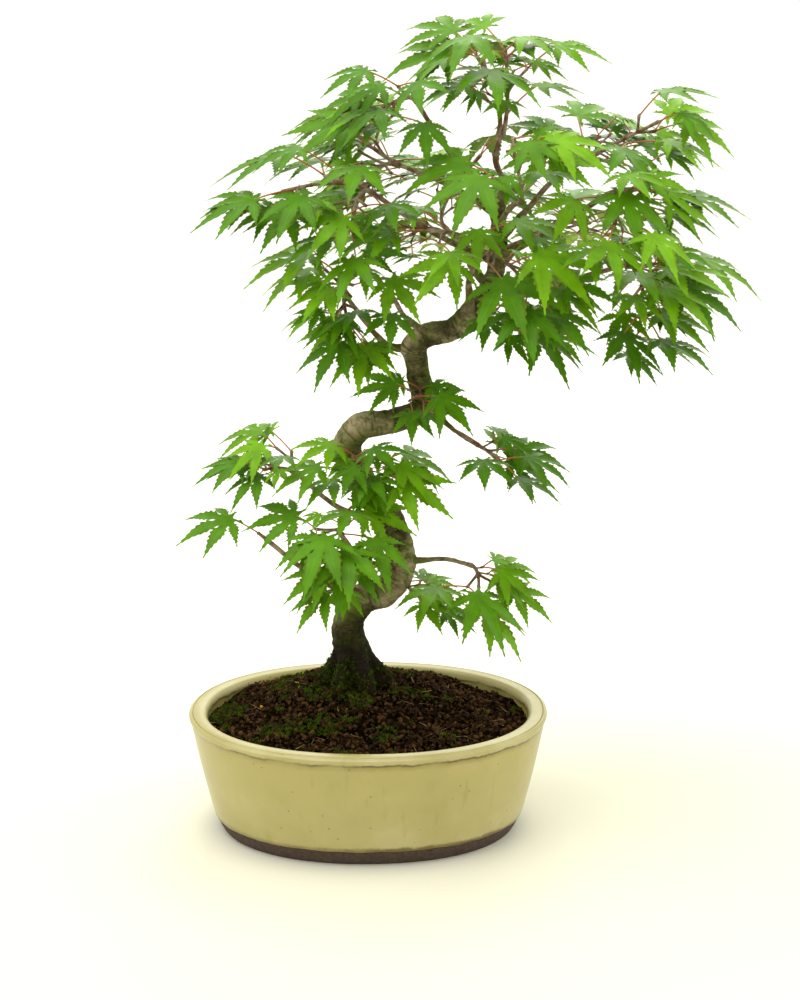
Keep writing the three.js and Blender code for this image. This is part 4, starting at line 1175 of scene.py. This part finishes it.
bough_routes = {row[0]: route(bough_stops(i, *row[1:]), BOUGH_RINGS) for i, row in enumerate(BOUGHS)}
grown, twigs, leaves = Grown(), [], []
grown.remember(plain_trunk(LIMB_MARGIN))
for rings in bough_routes.values():
    points = [point for point, _ in rings]
    points[-1] = points[-1] + (points[-1] - points[-2]).normalized() * LIMB_MARGIN
    grown.remember(sweep(points, lambda i, *_: rings[i][1] + LIMB_MARGIN, BOUGH_SIDES))
masses = [{"name": name, "from": source, "end": Vector(end), "forks": forks, "tuft": tuft, "leaf": leaf,
           "seed": SEED + i} for i, (name, source, end, forks, tuft, leaf) in enumerate(MASSES)]
for mass in masses:
    mass["start"], ahead, mass["heart"] = start_of(mass, masses)
    end = mass["start"].lerp(mass["end"], STEM_SHARE)
    mass["stem"] = (mass["start"], mass["start"] + ahead * (end - mass["start"]).length * STEM_BEND, end)
for mass in masses:
    stem_points = [stem_point(mass, i / STEM_RINGS) for i in range(STEM_RINGS)]
    grown.remember(budded(stem_points, mass["stem"][2], STEM_RADIUS + CLEARANCE))
    for part in (*forks_of(mass), 1):
        grown.remember(knob(stem_point(mass, part)))
for mass in masses:
    grow_mass(mass)
for mass in masses:
    grow_fine(mass)

# Where the photograph shows bare trunk or sky: x, z and radius as seen from its front, on the plane y = 0.
OPEN_PLACES = ((66, 329, 13), (43, 314, 16), (31, 270, 12), (11, 251, 15), (23, 168, 12), (18, 152, 12),
               (28, 347, 12), (61, 296, 12), (62, 419, 14), (52, 402, 10))
EYE = Vector((0, -1220.7, 521.1))
LEAF_MIDDLE = 0.35


def in_the_open(leaf):
    """Whether a leaf in front of the trunk hides one of the open places."""
    middle = leaf["hub"] + leaf["ahead"] * leaf["length"] * LEAF_MIDDLE
    seen = EYE + (middle - EYE) * (-EYE.y / (middle.y - EYE.y))
    return middle.y < 0 and any(math.hypot(seen.x - x, seen.z - z) < r for x, z, r in OPEN_PLACES)


leaves = [leaf for leaf in leaves if not in_the_open(leaf)]

WOOD_SIDES = 8
WOOD_ROUGH = 0.12
FOOT_SWELL, NODE_SWELL, BUD_SWELL = 0.35, 0.12, 0.42
BUD_OUT, BUD_POINT = 1.8, 0.12
STEM_THICK, STEM_THIN, STEM_FINE_RINGS = 1.35, 0.85, 12
TWIG_THIN, TWIG_FINE_RINGS, TWIG_ARCH = 0.72, 5, 0.06
STALK_THIN, STALK_THICK, STALK_SWELL = 0.34, 0.16, 1.25
STALK_SIDES = 6
STALK_RINGS = 7
STALK_ARCH = 0.07


def twig_wood(start, bend, end, thick, thin, rings):
    """A twig's fine mesh, swollen at its foot, at the node near its end and in its bud."""
    points = [arc(start, bend, end, t) for t in np.linspace(0, 1, rings + 1)]
    points.append(points[-1] + (points[-1] - points[-2]).normalized() * BUD_OUT)
    shares = [i / rings for i in range(rings + 1)]
    radii = [thick + (thin - thick) * t + FOOT_SWELL * math.exp(-((t * 9) ** 2)) for t in shares]
    radii[-2] += NODE_SWELL
    radii[-1] += BUD_SWELL
    radii.append(BUD_POINT)
    corners, faces = sweep(points, lambda i, angle, outward: radii[i] * (
        1 + WOOD_ROUGH * noise.noise(points[i] * 0.8 + outward)), WOOD_SIDES)
    ages = [0.75 + 0.25 * (i / len(radii)) for i in range(len(radii)) for _ in range(WOOD_SIDES)]
    return corners, faces, ages


wood_heap, stalk_heap = Heap(), Heap()
for mass in masses:
    wood_heap.add(*twig_wood(*mass["stem"], STEM_THICK, STEM_THIN, STEM_FINE_RINGS))
for number, (start, end, thick) in enumerate(twigs):
    bend = (start + end) / 2 + UP * (end - start).length * TWIG_ARCH * swing(number, 5)
    wood_heap.add(*twig_wood(start, bend, end, thick, thick * TWIG_THIN, TWIG_FINE_RINGS))
for leaf in leaves:
    start, end = leaf["foot"], leaf_base(leaf) + leaf["ahead"] * leaf["length"] * STALK_JOIN
    middle = (start + end) / 2 + UP * (end - start).length * STALK_ARCH
    points = [arc(start, middle, end, t) for t in np.linspace(0, 1, STALK_RINGS + 1)]
    thick = STALK_THIN + STALK_THICK * leaf["length"] / LEAF_LENGTH
    stalk_heap.add(*sweep(points, lambda i, *_: thick * (STALK_SWELL if i == 0 else 1), STALK_SIDES),
                   [i / STALK_RINGS for i in range(STALK_RINGS + 1) for _ in range(STALK_SIDES)])


def leaf_stalk_skin():
    """Maple leaf stalks: thin, waxy, red where the light reaches them and greener at the leaf."""
    material, tree, _ = new_material("leaf_stalk_skin")
    along = node(tree, "ShaderNodeAttribute", attribute_name="along").outputs["Fac"]
    colour = node(tree, "ShaderNodeValToRGB", {"Fac": along},
        [(0.0, "94481E"), (0.5, "B05C20"), (1.0, "A08A34")])
    finish_material(tree, {"Base Color": colour, "Roughness": 0.45})
    return material


twig_piece = wood_heap.piece("twigs_bark", maple_bark("twig_maple_bark", young=True), "young")
stalk_piece = stalk_heap.piece("leaf_stalks", leaf_stalk_skin(), "along")
mass_nodes = ["leaves_" + mass["name"] for mass in masses]
for piece in (twig_piece, stalk_piece):
    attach(piece, "root")
    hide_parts(*mass_nodes)

# The leaves: palmate maple leaves, each with five toothed lobes that taper to long tips and two small ones
# at the stalk. They are thin, folded up a little from their pale ribs, and droop at the tips. A few kinds of
# leaf are made once, and copies are turned and scaled to the places where the leaves have grown.
LOBES = ((0, 1.0), (38, 0.87), (77, 0.62), (130, 0.24))
NOTCHES = (0.26, 0.21, 0.11, 0.03)
LEAF_KINDS = 6
LEAF_HALF = 0.006
LEAF_BENDS = ((0.02, 0.05), (0.22, 0.12), (0.3, 0.2))
LOBE_SHAPE = ((0.15, 0.05), (0.33, 0.115), (0.46, 0.142), (0.58, 0.118), (0.72, 0.072), (0.86, 0.03), (1, 0))
LOBE_FOLD = 0.25
LOBE_STRAY = 4
LOBE_LENGTH_STRAY = 0.07
LEAF_THINNING = 0.6
RIB_WIDTH = 0.0035
RIB_BREAKS = (0.42, 0.74)
RIB_NARROWS = (0.8, 0.5)
TOOTH_OUT, TOOTH_IN, TOOTH_AHEAD = 0.025, 0.018, 0.1
TOOTH_FADE, TOOTH_LEAST, TOOTH_STRAY = 1.3, 0.8, 0.5
TEETH = (0.08, 0.21, 0.34, 0.47, 0.6, 0.73, 0.86)
TEETH_BREAKS = (3, 9)
SMALL_TEETH = (0.5,)
SMALL_BREAKS = (1, 2)
LARGE_LOBES = 3


def lobe_side(number, length, notch, teeth, kind):
    """One side of a lobe from its notch to near its tip, toothed: shares of the leaf along and across."""
    out, apart = notch
    made = [(out * math.cos(apart), out * math.sin(apart))]
    free = 1 - made[0][0] / length
    for k, tooth_start in enumerate(teeth):
        for at, way in ((tooth_start, -TOOTH_IN), (tooth_start + TOOTH_AHEAD, TOOTH_OUT)):
            part = 1 - free * (1 - at)
            width = np.interp(part, *zip(*LOBE_SHAPE)) * length
            tooth = way * (TOOTH_FADE - part) * (TOOTH_LEAST + TOOTH_STRAY * share(kind, number, k, 3))
            made.append((length * part, float(width) + tooth))
    return made


class LeafKind:
    """One kind of leaf: its points and faces in its own plane, x ahead, y aside and z up, one long."""

    def __init__(self, kind):
        self.kind, self.points, self.faces, self.parts, self.seen, self.rim = kind, [], [], [], {}, set()
        self.bends = [usual + by * swing(kind, 61, i) for i, (usual, by) in enumerate(LEAF_BENDS)]
        for side in (1, -1):
            strays = [LOBE_STRAY * swing(kind, i, side + 2) if i else 0 for i in range(len(LOBES))]
            self.turns = [side * (turn + by) for (turn, _), by in zip(LOBES, strays)]
            for i, lobe in enumerate(LOBES):
                length = lobe[1] * (1 + LOBE_LENGTH_STRAY * swing(kind, i, side + 2, 9)) if i else 1.0
                for layer in (1, -1):
                    if i or side == 1:
                        self.add_rib(self.turns[i], length, layer)
                    if i:
                        self.add_half(i, length, self.between(i - 1), -side, layer)
                    self.add_half(i, length, self.between(i), side, layer)

    def between(self, i):
        """The notch after a lobe, halfway to the next one, or behind the stalk's end after the last."""
        if i == len(LOBES) - 1:
            return 180.0, NOTCHES[i]
        return (self.turns[i] + self.turns[i + 1]) / 2, NOTCHES[i]

    def corner(self, turn, along, across, layer, low):
        """The number of the point at a place on a lobe; points at one place in one layer are one point."""
        turn = math.radians(turn)
        x = along * math.cos(turn) - across * math.sin(turn)
        y = along * math.sin(turn) + across * math.cos(turn)
        key = (round(x, 3), round(y, 3), layer)
        if key not in self.seen:
            self.seen[key] = len(self.points)
            rise = layer * LEAF_HALF * (1 - LEAF_THINNING * min(math.hypot(x, y), 1))
            self.points.append(Vector((x, y, LOBE_FOLD * abs(across) - low + rise)))
            if layer == 0:
                self.rim.add(self.seen[key])
        return self.seen[key]

    def rib_spot(self, turn, length, hand, number, layer):
        """A point of the rib at one of its two bends."""
        along = RIB_BREAKS[number] * length
        low = self.bends[0] * along + self.bends[1] * (along - RIB_BREAKS[0] * length)
        return self.corner(turn, along, hand * RIB_WIDTH * RIB_NARROWS[number], layer, low)

    def add_rib(self, turn, length, layer):
        """A lobe's rib as three faces from the stalk to the tip."""
        hub = self.corner(turn, 0.0, 0.0, layer, 0.0)
        left, right = ([self.rib_spot(turn, length, hand, i, layer) for i in (0, 1)] for hand in (1, -1))
        tip = self.tip_of(turn, length)
        self.put([hub, right[0], left[0]], layer, 1)
        self.put([left[0], right[0], right[1], left[1]], layer, 1)
        self.put([left[1], right[1], tip], layer, 1)

    def tip_of(self, turn, length):
        """The point at a lobe's tip, which both layers share."""
        near, far = (part * length for part in RIB_BREAKS)
        low = self.bends[0] * length + self.bends[1] * (length - near) + self.bends[2] * (length - far)
        return self.corner(turn, length, 0.0, 0, low)

    def add_half(self, number, length, notch, hand, layer):
        """Half a lobe as three flat faces. It bends where the rib does, at two of the points of its edge."""
        turn = self.turns[number]
        apart = math.radians(abs(notch[0] - abs(turn) if notch[0] == 180 else notch[0] - turn))
        large = number < LARGE_LOBES
        teeth, breaks = (TEETH, TEETH_BREAKS) if large else (SMALL_TEETH, SMALL_BREAKS)
        path = lobe_side(number, length, (notch[1], apart), teeth, self.kind)
        bent = [(part * length, (path[i][0] - part * length) / path[i][1])
                for part, i in zip(RIB_BREAKS, breaks)]
        rim = []
        for along, across in path:
            past = [max(along - start - slant * across, 0) for start, slant in bent]
            low = self.bends[0] * along + self.bends[1] * past[0] + self.bends[2] * past[1]
            rim.append(self.corner(turn, along, hand * across, 0, low))
        rim.append(self.tip_of(turn, length))
        hub = self.corner(turn, 0.0, 0.0, layer, 0.0)
        near, far = (self.rib_spot(turn, length, hand, i, layer) for i in (0, 1))
        first, second = breaks
        runs = ([hub, *rim[: first + 1], near], [near, *rim[first : second + 1], far], [far, *rim[second:]])
        for run in runs:
            self.put(run[::-1] if hand > 0 else run, layer, 0)

    def put(self, run, layer, part):
        """Adds a face, turned outward: part 0 is blade and 1 rib, and all of the lower layer is 2."""
        self.faces.append(run if layer > 0 else run[::-1])
        self.parts.append(part if layer > 0 else 2)


def leaf_tree():
    """Sets leaves of several kinds on points by their turn and size, and paints blade, rib and underside."""
    tree, given = new_tree("leaf_out", {"Points": "Geometry", "Kinds": "Collection", "Blade": "Material",
                                        "Rib": "Material", "Underside": "Material"}, "Leaves")
    kinds = node(tree, "GeometryNodeCollectionInfo", {
        "Collection": given["Kinds"], "Separate Children": True, "Reset Children": True})
    turn = node(tree, "GeometryNodeInputNamedAttribute", {"Name": "turn"}, data_type="FLOAT_VECTOR")
    size = node(tree, "GeometryNodeInputNamedAttribute", {"Name": "size"}, data_type="FLOAT")
    kind = node(tree, "GeometryNodeInputNamedAttribute", {"Name": "kind"}, data_type="INT")
    copies = node(tree, "GeometryNodeInstanceOnPoints", {
        "Points": given["Points"], "Instance": kinds, "Pick Instance": True, "Instance Index": kind,
        "Rotation": turn, "Scale": size})
    painted = node(tree, "GeometryNodeRealizeInstances", {"Geometry": copies})
    part = node(tree, "GeometryNodeInputNamedAttribute", {"Name": "part"}, data_type="INT")
    for number, label in enumerate(("Blade", "Rib", "Underside")):
        is_part = node(tree, "FunctionNodeCompare", {2: part, 3: number}, data_type="INT", operation="EQUAL")
        painted = node(tree, "GeometryNodeSetMaterial", {
            "Geometry": painted, "Selection": is_part, "Material": given[label]})
    node(tree, "NodeGroupOutput", {0: painted})
    return tree


def leaf_skin(name, code, roughness):
    """A living maple leaf: thin and satin, one green that clouds a little between the side veins."""
    material, tree, place = new_material(name)
    cloud = node(tree, "ShaderNodeTexNoise", {"Vector": place, "Scale": 90, "Detail": 3})
    span = node(tree, "ShaderNodeMapRange", {
        "Value": cloud, "From Min": 0.3, "From Max": 0.7, "To Min": 0.82, "To Max": 1.2})
    colour = node(tree, "ShaderNodeVectorMath", {0: linear(code)[:3], "Scale": span}, operation="SCALE")
    veins = node(tree, "ShaderNodeTexNoise", {"Vector": place, "Scale": 420, "Detail": 2})
    relief = node(tree, "ShaderNodeBump", {"Height": veins, "Strength": 0.25, "Distance": 0.0004})
    finish_material(tree, {
        "Base Color": colour, "Roughness": roughness, "Specular IOR Level": 0.14, "Normal": relief})
    return material


leaf_kinds = bpy.data.collections.new("leaf_kinds")
bpy.context.scene.collection.children.link(leaf_kinds)
for number in range(LEAF_KINDS):
    kind = LeafKind(number)
    mesh = new_mesh(f"leaf_kind_{number}", kind.points, kind.faces)
    mark(mesh, "part", kind.parts, "INT", "FACE")
    mesh.polygons.foreach_set("use_smooth", [True] * len(kind.faces))
    for edge in mesh.edges:
        edge.use_edge_sharp = all(spot in kind.rim for spot in edge.vertices)
    leaf_kinds.objects.link(bpy.data.objects.new(mesh.name, mesh))

# The greens of the sprays, above and below: each leaf takes its spray's, or now and then another's.
GREENS = (("518304", "7C9A2C"), ("609304", "88A42C"), ("6EA20C", "90AE36"), ("497B06", "76942C"))
GREEN_STRAY = 0.35
LEAF_TRIM = 0.86
LEVEL_PULL = 0.4
LEAF_SWAY = 0.22
SWAY_KEYS, KIND_KEYS, GREEN_KEYS = 9973, 97, 9


def green_of(leaf):
    """The number of the green that a leaf takes."""
    past = int(1 + GREEN_KEYS * leaf["tone"]) if leaf["tone"] < GREEN_STRAY else 0
    return (leaf["mass"] + past) % len(GREENS)


def leaf_turn(leaf):
    """How a leaf hangs: its blade pulled level by its weight and swayed a little."""
    sway = Vector([LEAF_SWAY * swing(int(leaf["tone"] * SWAY_KEYS), i) for i in range(3)])
    normal = (leaf["normal"] + UP * LEVEL_PULL + sway).normalized()
    ahead = (leaf["ahead"] - normal * leaf["ahead"].dot(normal)).normalized()
    return Matrix((ahead, normal.cross(ahead), normal)).transposed().to_euler()


leaf_out = leaf_tree()
rib = leaf_skin("leaf_rib", "64922A", 0.5)
for green, (above, below) in enumerate(GREENS):
    chosen = [leaf for leaf in leaves if green_of(leaf) == green]
    spots = new_mesh("leaf_spots", [leaf["hub"] * MM for leaf in chosen], [])
    mark(spots, "turn", [angle for leaf in chosen for angle in leaf_turn(leaf)], "FLOAT_VECTOR")
    mark(spots, "size", [leaf["length"] * LEAF_TRIM * MM for leaf in chosen])
    mark(spots, "kind", [int(leaf["tone"] * KIND_KEYS) % LEAF_KINDS for leaf in chosen], "INT")
    source = shown("leaf_spots", spots)
    mesh = grown_mesh(source, leaf_out, {
        "Kinds": leaf_kinds, "Blade": leaf_skin(f"leaf_green_{green}", above, 0.42), "Rib": rib,
        "Underside": leaf_skin(f"leaf_underside_{green}", below, 0.6)})
    bpy.data.objects.remove(source)
    piece = shown(f"maple_leaves_{green}", mesh)
    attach(piece, "root")
    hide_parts(*mass_nodes)
for kind in list(leaf_kinds.objects):
    bpy.data.objects.remove(kind)
bpy.data.collections.remove(leaf_kinds)

# The picture's floor and backdrop, for the picture alone: one pale sweep of card that bends up behind the
# pot. Four broad soft lamps stand round it, in a pale room.
SWEEP_WIDTH, SWEEP_FRONT, SWEEP_BACK, SWEEP_BEND, SWEEP_TOP = 9000, -3500, 1500, 900, 3800
SWEEP_STEPS = 16
sweep_line = [(SWEEP_FRONT, 0)]
for step in range(SWEEP_STEPS + 1):
    angle = math.pi / 2 * step / SWEEP_STEPS
    sweep_line.append((SWEEP_BACK + SWEEP_BEND * math.sin(angle), SWEEP_BEND * (1 - math.cos(angle))))
sweep_line.append((SWEEP_BACK + SWEEP_BEND, SWEEP_TOP))
sweep_points = [Vector((side * SWEEP_WIDTH / 2, y, z)) for y, z in sweep_line for side in (-1, 1)]
sweep_faces = [(2 * i, 2 * i + 1, 2 * i + 3, 2 * i + 2) for i in range(len(sweep_line) - 1)]
card, card_tree, card_place = new_material("white_card")
# Painted shade on the card: greyer towards the front, at EAE8D8, and white towards the back.
card_back = node(card_tree, "ShaderNodeSeparateXYZ", {"Vector": card_place}).outputs["Y"]
card_painted_falloff = node(card_tree, "ShaderNodeMapRange", {"Value": card_back, "From Min": -0.1, "From Max": 1.1})
card_colour = node(card_tree, "ShaderNodeMix", {
    "Factor": card_painted_falloff, "A": linear("EAE8D8"), "B": linear("FFFFFC")}, data_type="RGBA")
finish_material(card_tree, {"Base Color": card_colour, "Roughness": 0.9})
make_piece("sweep", sweep_points, sweep_faces, [card])


def lamp(name, place, aim, size, watts, colour):
    """A square soft lamp that faces its aim."""
    light = bpy.data.lights.new(name, "AREA")
    light.size, light.energy, light.color = size, watts, linear(colour)[:3]
    made = shown(name, light)
    made.location = place
    made.rotation_mode = "QUATERNION"
    made.rotation_quaternion = (Vector(aim) - Vector(place)).to_track_quat("-Z", "Y")


lamp("overhead", (-0.35, -0.2, 1.7), (0.05, 0, 0.3), 1.3, 15, "FFFFFA")
lamp("left", (-1.5, -0.5, 0.9), (0, 0, 0.3), 1.2, 5, "FFFFFF")
lamp("right", (1.6, 0.1, 0.8), (0, 0, 0.3), 1.2, 8, "FFFFFF")
lamp("behind", (0.3, 1.3, 1.1), (0.05, 0, 0.35), 1.2, 9, "FFFFF4")
world = bpy.data.worlds.new("pale_room")
world.use_nodes = True
background = world.node_tree.nodes["Background"].inputs
background["Color"].default_value = linear("FFFEF2")
background["Strength"].default_value = 0.92
bpy.context.scene.world = world

# The camera stands where the photographer's did, and looks down a little and to the right. Its place was
# worked out from the ovals of the pot's rim and foot.
CAMERA_DOWN, CAMERA_RIGHT = 14.499, 0.917
CAMERA_LENS, CAMERA_SENSOR = 75.74, 36
camera = shown("camera", bpy.data.cameras.new("camera"))
camera.data.lens, camera.data.sensor_width = CAMERA_LENS, CAMERA_SENSOR
camera.location = EYE * MM
camera.rotation_euler = (math.radians(90 - CAMERA_DOWN), 0, -math.radians(CAMERA_RIGHT))
bpy.context.scene.camera = camera

bpy.context.scene.view_settings.view_transform = "Standard"
